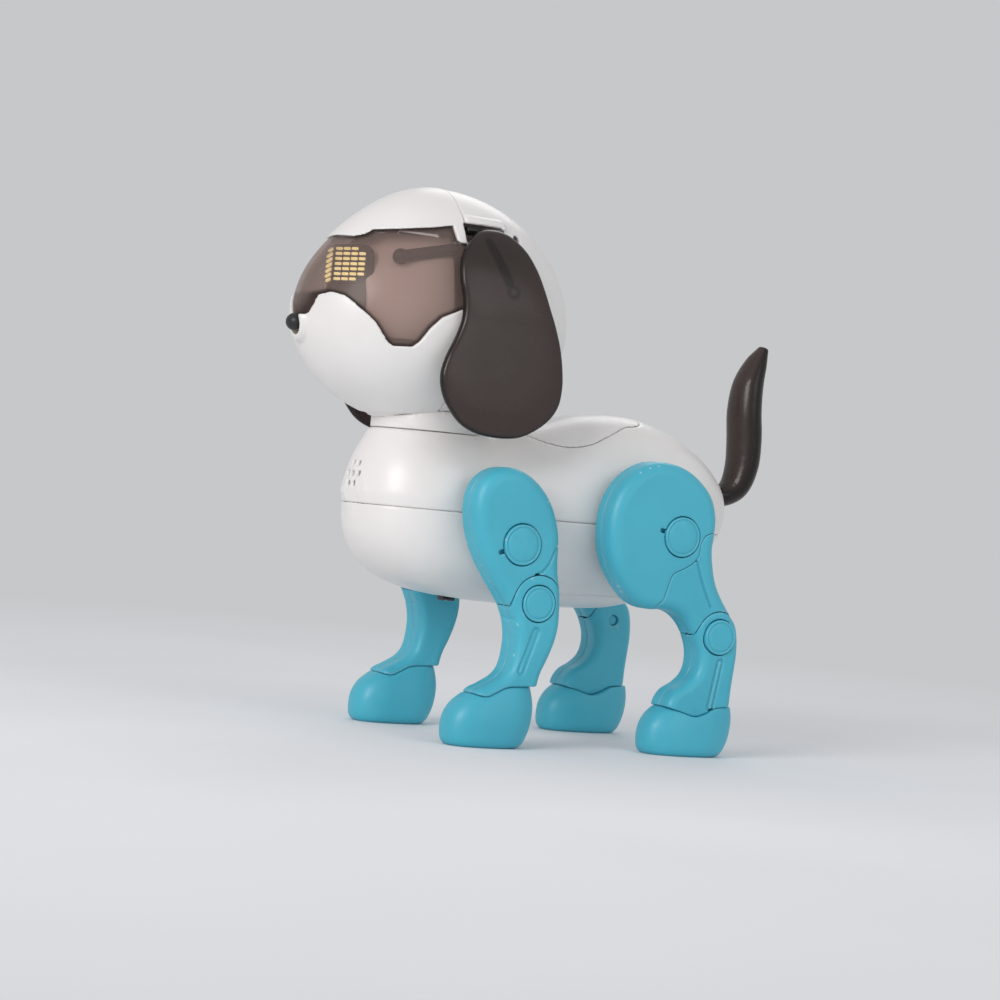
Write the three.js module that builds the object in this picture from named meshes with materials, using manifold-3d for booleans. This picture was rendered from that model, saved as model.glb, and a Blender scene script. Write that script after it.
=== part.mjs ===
// Robot dog toy: a walking, singing toy dog with a battery drive.
// Millimetres. The dog faces -Y, its left flank is +X, +Z is up, the paw soles are at z = 0.
import * as THREE from 'three';
import { mergeVertices } from 'three/addons/utils/BufferGeometryUtils.js';
import Module from 'manifold-3d';

const wasm = await Module();
wasm.setup();

// ---------------------------------------------------------------- driving dimensions

const GAP = 0.3;              // clearance between pieces that touch
const WALL = 2;               // shell thickness

const HIP = { front: [-22.6, 69], rear: [40.2, 76.3] };     // [y, z] of the hip axles
const KNEE = { front: [-14.3, 49.6], rear: [59.5, 42.4] };  // [y, z] of the knee pins
const LEG_IN = 29.2;          // inner face of a leg
const LEG_OUT = 44;           // outer face of a leg
const LEG_SPLIT = 36.6;       // parting plane between the inner and outer leg shells
const THIGH_EDGE = 4.5;       // rounding of the leg's edges above and below the knee
const SHANK_EDGE = 3.2;
const HIP_CAP_R = 7;
const KNEE_CAP_R = 6.2;
const CAP_DEPTH = 2.4;        // depth of the recess that a pivot cap sits in
const AXLE_R = 2;
const HUB_R = { front: 9.5, rear: 8.8 };                    // hub of the shank about the knee pin
const HUB_GAP = 0.5;
const TONGUE_R = 5.4;         // tongue of the thigh inside the shank's hub
const TONGUE_X = [34.6, 38.6];
const PAW_X = [26, 46];       // a paw is a little wider than its leg
const PAW_TOP = 23;

const HEAD_C = [0, -45.5, 142.5];
const HEAD_R = [36, 48, 46];  // half width, length in front of the centre, height above it
const HEAD_BACK = 53;         // length behind the centre
const HEAD_DROP = 36;         // depth of the head below its centre
const CROWN_FLAT = 0.065;     // share by which the forehead is flatter than an ellipsoid
const HEAD_SEAM_Y = -46;      // seam between the front pieces and the rear shell
const NECK_Y = -41;           // yaw axis of the head
const NECK = { low: 86, top: 104.5, lowR: 23, topR: 19.5 };  // cone of the torso's neck
const SPIGOT_R = 8;           // tube of the collar that carries the head
const COLLAR = { r: 19.2, top: 112 };                         // ring of the collar under the head
const SLOT = { x: [19, 31], y: [-46.8, -29.5], z: [168.6, 177] };  // hinge slot of an ear
const NOSE_Z = 137;
const NOSE_STALK = 2.2;

const BODY_SEAM_Z = 78;
const BODY_POWER = 2.5;       // roundness of the torso's cross-section
// torso stations: y, top, bottom, half width
const BODY = [
  [-67, 84, 72, 4], [-65.3, 91, 66, 11], [-61, 98, 59.5, 17.5], [-54, 102, 54, 22.5], [-45, 104, 50.5, 25.5],
  [-34, 104.5, 48.6, 27], [-18, 106, 47.4, 27.8], [0, 111, 47, 28], [18, 116, 47.2, 28], [36, 117, 48.6, 28],
  [50, 114, 53.5, 26.5], [62, 108.5, 61.5, 23.5], [71, 101.5, 69, 18.5], [77, 95, 76.5, 12], [80, 89, 83, 4],
];

const EAR_HINGE = [25.5, 173.2];        // [x, z] of the left ear's hinge
const EAR_THICK = 3.2;
const TAIL_PIN_Y = 70;
const TAIL_SLOT = { x: 8.5, y: [66, 90], z: [86.5, 97.5] };
const DOOR = { x: 18, y0: -9, y1: 45, z: 60 };
const DOOR_SCREW = { y: 41, z: 55, r: 2.5 };
const SWITCH = { y: -27, z: 46.6, knob: 2.4, flange: 6.6 };

const MODULE = 1;             // gear tooth module
const GEAR_Z = 90;            // height of every gear shaft
const SHAFT_R = 1.1;
const TEETH = { pinion: 7, wheel: 24, crank: 22 };
const PITCH = (teeth) => teeth * MODULE / 2;
const MOTOR_Y = 30;
const GEAR1_Y = MOTOR_Y - PITCH(TEETH.pinion) - PITCH(TEETH.wheel);
const GEAR2_Y = GEAR1_Y - PITCH(TEETH.pinion) - PITCH(TEETH.wheel);
const CRANK_Y = GEAR2_Y - PITCH(TEETH.pinion) - PITCH(TEETH.crank);
const PLANE_A = [14, 16];     // x ranges of the three gear planes
const PLANE_B = [10.5, 12.5];
const PLANE_C = [7, 9];
const PLATE_OUT = [17.5, 18.7];
const PLATE_IN = [4.5, 5.7];

const CELL = { r: 5.25, length: 44.5, pitch: 10.9, z: 63.8, y: -6 };

// ---------------------------------------------------------------- materials

const colours = {
  white: ['#e9e6e2', 0.42], teal: ['#4fb7cf', 0.38], smoke: ['#5d504b', 0.2], black: ['#1c1c1e', 0.5],
  steel: ['#a9adb2', 0.3, 0.9], brass: ['#c9a24a', 0.35, 0.8], green: ['#1f6b45', 0.5],
  cell: ['#3b3f46', 0.4, 0.4], natural: ['#e6e2d2', 0.5], inner: ['#f0e8e2', 0.6],
};

function material(name) {
  const [color, roughness, metalness = 0] = colours[name];
  return new THREE.MeshStandardMaterial({ name, color, roughness, metalness });
}

// ---------------------------------------------------------------- solids and booleans

function solid(geometry) {
  const bare = geometry.clone();
  bare.deleteAttribute('normal');
  bare.deleteAttribute('uv');
  const merged = mergeVertices(bare, 1e-4);
  return new wasm.Manifold(new wasm.Mesh({
    numProp: 3,
    vertProperties: new Float32Array(merged.attributes.position.array),
    triVerts: new Uint32Array(merged.index.array),
  }));
}

function geometryOf(body) {
  const mesh = body.getMesh();
  const geometry = new THREE.BufferGeometry();
  geometry.setAttribute('position', new THREE.BufferAttribute(new Float32Array(mesh.vertProperties), 3));
  geometry.setIndex(new THREE.BufferAttribute(new Uint32Array(mesh.triVerts), 1));
  return geometry;
}

function mirrored(geometry) {
  const copy = geometry.clone();
  copy.scale(-1, 1, 1);
  const index = copy.index.array;
  for (let i = 0; i < index.length; i += 3) {
    const first = index[i];
    index[i] = index[i + 1];
    index[i + 1] = first;
  }
  return copy;
}

function block(x, y, z) {
  const geometry = new THREE.BoxGeometry(x[1] - x[0], y[1] - y[0], z[1] - z[0]);
  geometry.translate((x[0] + x[1]) / 2, (y[0] + y[1]) / 2, (z[0] + z[1]) / 2);
  return solid(geometry);
}

// a round bar along X, Y or Z through the point [x, y, z], running over `span` on its own axis
function bar(axis, radius, span, at, sides = 20) {
  const geometry = new THREE.CylinderGeometry(radius, radius, span[1] - span[0], sides);
  if (axis === 'x') geometry.rotateZ(Math.PI / 2);
  if (axis === 'z') geometry.rotateX(Math.PI / 2);
  const middle = (span[0] + span[1]) / 2;
  const x = axis === 'x' ? middle : at[0];
  const y = axis === 'y' ? middle : at[1];
  const z = axis === 'z' ? middle : at[2];
  geometry.translate(x, y, z);
  return solid(geometry);
}

// a round bar between two points of space
function rod(from, to, radius, sides = 12) {
  const a = new THREE.Vector3(...from);
  const b = new THREE.Vector3(...to);
  const along = b.clone().sub(a);
  const geometry = new THREE.CylinderGeometry(radius, radius, along.length(), sides);
  geometry.applyQuaternion(new THREE.Quaternion().setFromUnitVectors(
    new THREE.Vector3(0, 1, 0), along.normalize()));
  const middle = a.add(b).multiplyScalar(0.5);
  geometry.translate(middle.x, middle.y, middle.z);
  return solid(geometry);
}

// a cone frustum standing on Z at [x, y]
function frustum(at, z, radii, sides = 20) {
  const geometry = new THREE.CylinderGeometry(radii[1], radii[0], z[1] - z[0], sides);
  geometry.rotateX(Math.PI / 2);
  geometry.translate(at[0], at[1], (z[0] + z[1]) / 2);
  return solid(geometry);
}

// a side-view outline of [y, z] points, extruded along X
function sideways(outline, x) {
  const shape = new THREE.Shape(outline.map(([y, z]) => new THREE.Vector2(y, z)));
  const geometry = new THREE.ExtrudeGeometry(shape, { depth: x[1] - x[0], steps: 1, bevelEnabled: false });
  geometry.translate(0, 0, x[0]);
  geometry.applyMatrix4(new THREE.Matrix4().makeBasis(
    new THREE.Vector3(0, 1, 0), new THREE.Vector3(0, 0, 1), new THREE.Vector3(1, 0, 0)));
  return solid(geometry);
}

// a cushion-shaped plate along X: the outline shrinks towards its middle at both faces
function pillow(outline, x, edge) {
  const middle = [0, 1].map((k) => outline.reduce((sum, p) => sum + p[k], 0) / outline.length);
  const profile = [0, 45, 90].map((degrees) => THREE.MathUtils.degToRad(degrees));
  const levels = [
    ...profile.map((a) => [x[0] + edge * (1 - Math.cos(a)), edge * (1 - Math.sin(a))]),
    ...profile.map((a) => [x[1] - edge * (1 - Math.cos(a)), edge * (1 - Math.sin(a))]).reverse(),
  ];
  return loft(levels.map(([level, inset]) => outline.map(([y, z]) => {
    const away = Math.hypot(y - middle[0], z - middle[1]);
    const kept = Math.max(away - inset, away * 0.4) / away;
    return [level, middle[0] + (y - middle[0]) * kept, middle[1] + (z - middle[1]) * kept];
  })));
}

// a smooth closed outline through a few [y, z] points
function smooth(points, count) {
  const curve = new THREE.CatmullRomCurve3(
    points.map(([y, z]) => new THREE.Vector3(y, z, 0)), true, 'centripetal');
  return curve.getPoints(count).slice(0, -1).map((p) => [p.x, p.y]);
}

// points of an arc in the side view, from one angle to the other, in degrees
function arc(centre, radius, from, to, steps) {
  const points = [];
  for (let i = 0; i <= steps; i += 1) {
    const angle = THREE.MathUtils.degToRad(from + (to - from) * i / steps);
    points.push([centre[0] + radius * Math.cos(angle), centre[1] + radius * Math.sin(angle)]);
  }
  return points;
}

// a closed skin over rings of equal length, with a fan on each end
function loft(rings) {
  const size = rings[0].length;
  const positions = rings.flat(2);
  const index = [];
  for (let r = 0; r < rings.length - 1; r += 1) {
    for (let i = 0; i < size; i += 1) {
      const next = (i + 1) % size;
      const a = r * size + i;
      const b = r * size + next;
      index.push(a, b, a + size, b, b + size, a + size);
    }
  }
  const ends = [[0, true], [rings.length - 1, false]];
  for (const [row, flipped] of ends) {
    const hub = positions.length / 3;
    const centre = [0, 1, 2].map((k) => rings[row].reduce((sum, p) => sum + p[k], 0) / size);
    positions.push(...centre);
    for (let i = 0; i < size; i += 1) {
      const a = row * size + i;
      const b = row * size + (i + 1) % size;
      index.push(hub, flipped ? b : a, flipped ? a : b);
    }
  }
  const geometry = new THREE.BufferGeometry();
  geometry.setAttribute('position', new THREE.Float32BufferAttribute(positions, 3));
  geometry.setIndex(index);
  const made = solid(geometry);
  return made.volume() > 0 ? made : solid(flipped(geometry));
}

function flipped(geometry) {
  const copy = geometry.clone();
  copy.setIndex([...geometry.index.array].reverse());
  return copy;
}

// one point of a superellipse
function squircle(angle, power) {
  const c = Math.cos(angle);
  const s = Math.sin(angle);
  return [Math.sign(c) * Math.abs(c) ** (2 / power), Math.sign(s) * Math.abs(s) ** (2 / power)];
}

// ---------------------------------------------------------------- scene graph

const dog = new THREE.Group();
dog.name = 'robot_dog';

function addMesh(parent, name, body, colour) {
  const geometry = body instanceof THREE.BufferGeometry ? body : geometryOf(body);
  geometry.computeVertexNormals();
  const mesh = new THREE.Mesh(geometry, material(colour));
  mesh.name = name;
  parent.add(mesh);
  return mesh;
}

// adds a piece on the left side and its mirror image on the right side
function addPair(parent, name, suffix, body, colour) {
  const geometry = geometryOf(body);
  addMesh(parent, `${name}_${suffix}left`, geometry, colour);
  addMesh(parent, `${name}_${suffix}right`, mirrored(geometry), colour);
}

// ---------------------------------------------------------------- torso shells

function torsoSkin(inset) {
  const sides = 18;
  const last = BODY.length - 1;
  const rings = BODY.map(([y, top, bottom, half], k) => {
    const shift = k === 0 ? inset : k === last ? -inset : 0;
    const shrink = Math.min(inset, half * 0.6);
    const middle = (top + bottom) / 2;
    const high = (top - bottom) / 2 - Math.min(inset, (top - bottom) * 0.3);
    const ring = [];
    for (let i = 0; i < sides; i += 1) {
      const [c, s] = squircle(2 * Math.PI * (i + 0.5) / sides, BODY_POWER);
      ring.push([(half - shrink) * c, y + shift, middle + high * s]);
    }
    return ring;
  });
  return loft(rings);
}

function buildTorso() {
  const group = new THREE.Group();
  const neckAt = [0, NECK_Y];
  const neckOuter = frustum(neckAt, [NECK.low, NECK.top], [NECK.lowR, NECK.topR]);
  const neckInner = frustum(neckAt, [NECK.low - WALL, NECK.top - WALL], [NECK.lowR - WALL, NECK.topR - WALL]);
  let shell = torsoSkin(0).add(neckOuter).subtract(torsoSkin(WALL).add(neckInner));
  shell = shell.subtract(bar('z', SPIGOT_R + 1, [NECK.low, NECK.top + 20], [0, NECK_Y, 0], 18));
  shell = shell.subtract(bar('z', COLLAR.r + 0.4, [NECK.top, NECK.top + 20], [0, NECK_Y, 0], 28));
  for (const [y, z] of [HIP.front, HIP.rear]) {
    shell = shell.subtract(bar('x', AXLE_R + GAP, [-LEG_OUT, LEG_OUT], [0, y, z], 16));
  }
  shell = shell.subtract(block([-TAIL_SLOT.x, TAIL_SLOT.x], TAIL_SLOT.y, TAIL_SLOT.z));

  // the cover over the back ends in a wave along the flanks
  const wide = [-LEG_OUT, LEG_OUT];
  const coverCut = sideways(smoothOpen(WAVE, 24), wide);
  const coverRoom = sideways(smoothOpen(WAVE.map(grownWave), 24), wide);
  const long = [-100, 110];
  const upper = shell.subtract(block([-60, 60], long, [20, BODY_SEAM_Z + GAP / 2]));
  const lower = shell.subtract(block([-60, 60], long, [BODY_SEAM_Z - GAP / 2, 140]));
  addMesh(group, 'saddle_cover', largest(upper.intersect(coverCut)), 'white');
  addMesh(group, 'body_upper', largest(upper.subtract(coverRoom)), 'white');

  const doorCut = block([-DOOR.x, DOOR.x], [DOOR.y0, DOOR.y1], [30, DOOR.z]);
  const doorRoom = block([-DOOR.x - GAP, DOOR.x + GAP], [DOOR.y0 - GAP, DOOR.y1 + GAP], [30, DOOR.z + 2]);
  const switchRoom = block([-SWITCH.knob - 1.1, SWITCH.knob + 1.1],
    [SWITCH.y - SWITCH.knob - 2.6, SWITCH.y + SWITCH.knob + 2.6], [30, DOOR.z]);
  addMesh(group, 'body_lower', largest(lower.subtract(doorRoom).subtract(switchRoom)), 'white');

  const screwRoom = bar('z', DOOR_SCREW.r + 0.4, [30, 70], [0, DOOR_SCREW.y, 0], 16);
  addMesh(group, 'battery_door', largest(lower.intersect(doorCut).subtract(screwRoom)), 'white');
  addMesh(group, 'door_screw', crossScrew(), 'steel');

  const { y, z, knob, flange } = SWITCH;
  const slider = block([-knob, knob], [y - knob, y + knob], [z, z + 5.4])
    .add(block([-flange + 1, flange - 1], [y - flange, y + flange], [z + 5.3, z + 6.3]));
  addMesh(group, 'switch_knob', slider, 'black');
  return group;
}

// lower edge of the back cover in the side view: [y, z]
const WAVE = [[-17, 130], [-17, 108.6], [-10.5, 107.2], [-4, 104.8], [4.6, 103.7], [13, 105.4], [21, 109], [29, 112.6],
  [38, 115], [46, 130]];

// the same edge a gap further out
function grownWave([y, z]) {
  const side = y > 40 ? GAP : -GAP;
  return [y + (z > 120 ? side : side / 3), z - GAP - 0.05];
}

// a short screw with a cross recess, pointing up
function crossScrew() {
  const { y, z, r } = DOOR_SCREW;
  const half = 0.35;
  const reach = 1.7;
  const recess = [z - 3, z - 1.2];
  return bar('z', r, [z - 2.2, z], [0, y, 0], 16)
    .add(bar('z', 1.2, [z - 0.5, z + 4], [0, y, 0], 12))
    .subtract(block([-reach, reach], [y - half, y + half], recess))
    .subtract(block([-half, half], [y - reach, y + reach], recess));
}

// an open smooth run through [y, z] points, closed by a straight line
function smoothOpen(points, count) {
  const curve = new THREE.CatmullRomCurve3(
    points.map(([y, z]) => new THREE.Vector3(y, z, 0)), false, 'centripetal');
  return curve.getPoints(count).map((p) => [p.x, p.y]);
}

// keeps the biggest part of a cut
function largest(body) {
  const parts = body.decompose();
  return parts.reduce((best, part) => (part.volume() > best.volume() ? part : best));
}

// ---------------------------------------------------------------- head

// the head is an ellipsoid with other lengths above, below and behind its middle
function headSkin(inset) {
  const geometry = new THREE.SphereGeometry(1, 24, 14);
  geometry.rotateX(Math.PI / 2);
  const position = geometry.attributes.position;
  for (let i = 0; i < position.count; i += 1) {
    const length = position.getY(i) > 0 ? HEAD_BACK : HEAD_R[1];
    const height = position.getZ(i) < 0 ? HEAD_DROP : HEAD_R[2];
    const ahead = Math.max(0, -position.getY(i));
    const up = Math.max(0, position.getZ(i));
    const scale = 1 - CROWN_FLAT * 4 * (ahead * up) ** 2;
    position.setXYZ(
      i,
      HEAD_C[0] + position.getX(i) * scale * (HEAD_R[0] - inset),
      HEAD_C[1] + position.getY(i) * scale * (length - inset),
      HEAD_C[2] + position.getZ(i) * scale * (height - inset),
    );
  }
  return solid(geometry);
}

// lower edge of the cap, from the forehead to the tab at the rear seam
const BROW = [[-100, 172], [-86, 171], [-84.1, 169.4], [-83.1, 168.2], [-80, 167.3], [-77.2, 168.3], [-75.2, 170],
  [-68, 170.9], [-58, 172.4], [-50.6, 174], [-50, 169], [-49, 168.2], [-20, 168.2]];
// lower edge of the visor, from the muzzle to the rear seam
const VISOR = [[-100, 139.2], [-92.7, 139.6], [-91.2, 146.4], [-88.6, 147.6], [-85.4, 146.6], [-82.3, 143.8],
  [-76.6, 138.4], [-72.4, 132.7], [-70.4, 131.2], [-64.2, 131.6], [-62.2, 133.6], [-59.6, 138.2], [-56, 142.2],
  [-49.2, 145.6], [-20, 148]];

function below(line, shift) {
  return line.map(([y, z]) => [y, z + shift]).concat([[-20, 60], [-120, 60], [-120, line[0][1] + shift]]);
}

function above(line, shift) {
  return line.map(([y, z]) => [y, z + shift]).concat([[-20, 240], [-120, 240], [-120, line[0][1] + shift]]);
}

// the part behind the visor: a white inner skin, the boards of the eye lamps and the two ear arms, joined
const LINER = { inset: 7, thick: 1.4, y: [-79.5, -48.5], z: [134, 170] };
const LAMP_BOARD = { inset: 2.9, x: 17.5, y: -82, slant: 0.34, thick: 1.5, z: [151.5, 164.5] };
const EYE_ROOM = { x: 19, y: -76.5 };                         // the inner skin leaves this room for the boards
const EAR_ARM = { from: [22, -67.4, 161.6], to: [24.6, -48.6, 166.2], r: 2.2 };

function eyeUnit() {
  const wide = [-60, 60];
  let unit = headSkin(LINER.inset).subtract(headSkin(LINER.inset + LINER.thick))
    .intersect(block(wide, LINER.y, LINER.z))
    .subtract(block([-EYE_ROOM.x, EYE_ROOM.x], [-100, EYE_ROOM.y], LINER.z));
  for (const side of [-1, 1]) {
    const [a, b] = [EAR_ARM.from, EAR_ARM.to].map(([x, y, z]) => [side * x, y, z]);
    unit = unit.add(lampBoard(side)).add(rod(a, b, EAR_ARM.r));
  }
  return unit;
}

// the board of one eye, slanting back towards the flank
function lampBoard(side) {
  const { inset, x, y, slant, thick, z } = LAMP_BOARD;
  const plan = [[-side, y - slant], [side * x, y + slant * x]];
  const rings = z.map((level) => [
    ...plan.map(([px, py]) => [px, py, level]),
    ...plan.slice().reverse().map(([px, py]) => [px, py + thick, level]),
  ]);
  return loft(rings).intersect(headSkin(inset));
}

function buildHead() {
  const group = new THREE.Group();
  let shell = headSkin(0).subtract(headSkin(WALL));
  shell = shell.subtract(bar('z', SPIGOT_R + GAP, [90, 120], [0, NECK_Y, 0], 18));
  for (const side of [-1, 1]) {
    const xs = SLOT.x.map((x) => side * x).sort((a, b) => a - b);
    shell = shell.subtract(block(xs, SLOT.y, SLOT.z));
  }
  const wide = [-60, 60];
  const high = [60, 240];
  const front = shell.subtract(block(wide, [HEAD_SEAM_Y - GAP / 2, 40], high));
  const rear = shell.subtract(block(wide, [-140, HEAD_SEAM_Y + GAP / 2], high));
  const half = 0.15;
  const cap = front.intersect(sideways(above(BROW, half), wide));
  const face = front.intersect(sideways(below(VISOR, -half), wide))
    .subtract(bar('y', NOSE_STALK + GAP, [-110, -88], [0, 0, NOSE_Z], 18));
  const visor = front.intersect(sideways(above(VISOR, half), wide)).intersect(sideways(below(BROW, -half), wide));
  addMesh(group, 'head_rear', largest(rear), 'white');
  addMesh(group, 'head_cap', largest(cap), 'white');
  addMesh(group, 'face_shell', largest(face), 'white');
  addMesh(group, 'visor', largest(visor), 'smoke');
  addMesh(group, 'led_board', eyeUnit(), 'inner');

  // nose: a button with a stalk through the face
  const button = new THREE.SphereGeometry(1, 18, 12);
  button.scale(3.5, 3, 3);
  button.translate(0, -94, NOSE_Z);
  const nose = solid(button).subtract(block([-10, 10], [-93.6, -80], [120, 150]))
    .add(bar('y', NOSE_STALK, [-94.5, -88], [0, 0, NOSE_Z], 16));
  addMesh(group, 'nose', nose, 'black');

  // collar: a ring that fills the space under the head, on a tube that turns in the neck
  const at = [0, NECK_Y, 0];
  const collar = bar('z', COLLAR.r, [NECK.top + GAP, COLLAR.top], at, 28)
    .subtract(headSkin(-GAP))
    .add(bar('z', SPIGOT_R, [96, 112.6], at, 18))
    .add(bar('z', 12, [96, 97.5], at, 18))
    .add(bar('z', 10.5, [111.4, 112.6], at, 18))
    .subtract(bar('z', SPIGOT_R - 2, [90, 120], at, 16));
  addMesh(group, 'neck_collar', collar, 'white');
  return group;
}

// ---------------------------------------------------------------- ears

// an ear hangs from its hinge over the side of the head: height, front and back in the side view
const EAR = [
  [173.4, -41.5, -32.8], [168.4, -47.6, -26.4], [162, -51.3, -22.6], [156, -51.9, -20.2], [149, -50.7, -17.6],
  [142.8, -50.6, -15], [136.2, -52.6, -12.8], [129, -55.8, -11.4], [122.9, -57.2, -11], [116.7, -56, -12],
  [111.9, -53.1, -15], [107.2, -48.3, -20.8], [104.4, -40.7, -27.5],
];

// distance of the ear's middle from the centre plane, at each height
function earReach(z) {
  const rise = Math.max(0, (z - HEAD_C[2]) / HEAD_R[2]);
  return HEAD_R[0] * Math.sqrt(1 - rise * rise) + 3.6 + 1.2 * Math.min(1, Math.max(0, (HEAD_C[2] - z) / 30));
}

function buildEar() {
  const sides = 12;
  const rings = EAR.map(([z, front, back], k) => {
    const half = (back - front) / 2;
    const thin = k === EAR.length - 1 ? 0.6 : 1;
    const ring = [];
    for (let i = 0; i < sides; i += 1) {
      const [c, s] = squircle(2 * Math.PI * (i + 0.5) / sides, 3);
      ring.push([earReach(z) + s * EAR_THICK * thin / 2, (front + back) / 2 + c * half, z]);
    }
    return ring;
  });
  const [x, z] = EAR_HINGE;
  const pin = bar('y', 1.6, [-45.6, -31.4], [x, 0, z], 14);
  const arm = block([x - 0.8, earReach(z) + 0.6], [-41.4, -34.6], [z - 2.2, z + 0.4]);
  return loft(rings).add(arm).add(pin);
}

// ---------------------------------------------------------------- tail

// the tail sweeps up behind the rump: [y, z, half width, half depth]
const TAIL = [
  [77, 92, 3.6, 3.2], [83, 92.4, 5, 4], [88, 96, 6.6, 5], [90.6, 104, 7.6, 5.6], [90.6, 114, 7.9, 5.9],
  [89.6, 124, 7.8, 5.8], [90.2, 134, 6.9, 5.2], [92.8, 142, 5, 3.8], [95.3, 147.4, 2.6, 1.9],
];

function buildTail() {
  const path = TAIL.map(([y, z]) => new THREE.Vector3(0, y, z));
  const sides = 12;
  const rings = TAIL.map(([, , wide, deep], k) => {
    const ahead = path[Math.min(k + 1, path.length - 1)];
    const behind = path[Math.max(k - 1, 0)];
    const along = ahead.clone().sub(behind).normalize();
    const ring = [];
    for (let i = 0; i < sides; i += 1) {
      const angle = 2 * Math.PI * i / sides;
      const off = deep * Math.sin(angle);
      ring.push([wide * Math.cos(angle), path[k].y + along.z * off, path[k].z - along.y * off]);
    }
    return ring;
  });
  const pinAt = [0, TAIL_PIN_Y, 0];
  const lug = bar('z', 4.2, [89, 95], pinAt, 18)
    .add(block([-3, 3], [TAIL_PIN_Y, 79], [89.6, 94.4]))
    .subtract(bar('z', 1.5, [80, 100], pinAt, 14));
  return loft(rings).add(lug);
}

// ---------------------------------------------------------------- legs

// side-view outlines: [y, z]. Thigh, calf and shank overlap and are cut apart at the knee's hub.
const THIGH = {
  front: [[-5.2, 54.5], [-6.3, 59.6], [-6.9, 65], [-7, 69.5], [-7.8, 75], [-10, 81.4], [-14, 87.4], [-19.6, 92],
    [-25.6, 94.4], [-31.4, 94.2], [-36.6, 91.6], [-39.9, 86.8], [-40.9, 79.6], [-39.4, 71.6], [-36, 63.8],
    [-30.9, 56.4], [-25.8, 50.2], [-22.6, 45.6], [-21, 43]],
  rear: [[54.2, 72], [55.1, 78.6], [54.9, 84.5], [52.5, 91], [47.8, 96], [41.5, 99.8], [34, 101.5], [27.5, 101],
    [21, 97.8], [15.4, 91.8], [12.3, 84.4], [11.7, 76.4], [12.9, 68.6], [15.7, 62.4], [20, 56.8], [25.4, 52.2],
    [31, 50.4], [37, 50.8], [42, 54]],
};
const CALF = [[38, 66], [46, 72], [54.6, 74], [55.4, 67.9], [57.4, 61.2], [61, 55.3], [64.6, 50.7], [67.4, 46.8],
  [68.3, 42.6], [64, 36], [54, 36], [50.9, 41.6], [48.2, 45.2], [43.4, 49], [39.4, 50.8], [33, 52]];
const SHANK = {
  front: [[-10, 57.5], [-5.6, 54.5], [-4.8, 48], [-4.9, 42], [-6, 36.4], [-8, 30.8], [-10.1, 25.8], [-11.2, 20],
    [-12, 12], [-18, 8], [-28, 8], [-35, 12], [-33.6, 18.4], [-29, 21.2], [-24.4, 24], [-22, 27], [-20.8, 32],
    [-20.5, 37.3], [-20.9, 42.2], [-23.4, 48], [-22, 54], [-17, 58]],
  rear: [[60, 50], [66.6, 47], [68.3, 42.4], [68.5, 37.2], [68.1, 31.7], [67.5, 24.7], [67, 17], [64, 9], [50, 8],
    [42, 11], [41.4, 18], [44, 22.4], [48.6, 25.4], [51.6, 28.4], [52.9, 32], [52.8, 36.2], [51.2, 40.4],
    [52, 46]],
};
// where the calf cover begins behind the thigh cover
const CALF_SEAM = [[62, 80], [54.1, 78.7], [50, 77.4], [48.3, 74.4], [47.6, 70], [45.2, 67.1], [41.4, 64.9],
  [38.1, 63.1], [36.2, 58], [35, 53.8], [33.3, 51.9], [32, 46], [32, 20], [90, 20], [90, 80]];

// upper edge of each paw: toe, dip, heel
const PAW_EDGE = {
  front: [[-60, 20], [-40, 18.8], [-35, 17.9], [-30.5, 17.2], [-27, 18.7], [-23.4, 20.5], [-17, 21.2], [10, 21.4]],
  rear: [[20, 19.6], [34.5, 18.4], [38.6, 17.6], [45.2, 15.8], [52.3, 14.1], [56.5, 15.3], [61.1, 17.4], [90, 17.8]],
};
const PAW_Y = { front: [-42.5, -10.2], rear: [35, 70.4] };
// a paw at rising heights: [z, toe inset, side inset, heel inset]
const PAW_LEVELS = [[0, 1.6, 1.7, 4.6], [2, 0.4, 0.5, 2.8], [5.5, 0, 0, 1.2], [10, 0.6, 0, 0.2], [14, 2.8, 0.6, 0],
  [17.5, 7, 1.6, 0.5], [20.5, 12, 2.6, 1.4], [PAW_TOP, 17, 3.4, 2.6]];

function pawBody(end) {
  const [front, back] = PAW_Y[end];
  const sides = 14;
  const middleX = (PAW_X[0] + PAW_X[1]) / 2;
  const halfX = (PAW_X[1] - PAW_X[0]) / 2;
  const rings = PAW_LEVELS.map(([z, toe, side, heel]) => {
    const y0 = front + toe;
    const y1 = back - heel;
    const ring = [];
    for (let i = 0; i < sides; i += 1) {
      const [c, s] = squircle(2 * Math.PI * (i + 0.5) / sides, 2.5);
      ring.push([middleX + s * (halfX * 0.96 - side), (y0 + y1) / 2 + c * (y1 - y0) / 2, z]);
    }
    return ring;
  });
  return loft(rings);
}

// everything above or below the upper edge of a paw
function edgeCut(end, shift, upward) {
  const line = PAW_EDGE[end].map(([y, z]) => [y, z + shift]);
  const far = upward ? 60 : -10;
  const last = line[line.length - 1];
  return sideways(line.concat([[last[0], far], [line[0][0], far]]), [20, 52]);
}

function hubCut(end, radius, x) {
  const [y, z] = KNEE[end];
  return bar('x', radius, x, [0, y, z], 24);
}

// the part of a leg that turns about the knee pin, grown by a gap
function kneeRegion(end, gap) {
  const [y, z] = KNEE[end];
  const across = [0, 60];
  const level = end === 'front' ? z - 6.3 : z;
  const rise = end === 'front' ? 3 : 0;
  return hubCut(end, HUB_R[end] + gap, across)
    .add(block(across, [-90, 110], [-10, level + gap]))
    .add(block(across, [y, 110], [0, z + rise + gap]));
}

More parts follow.
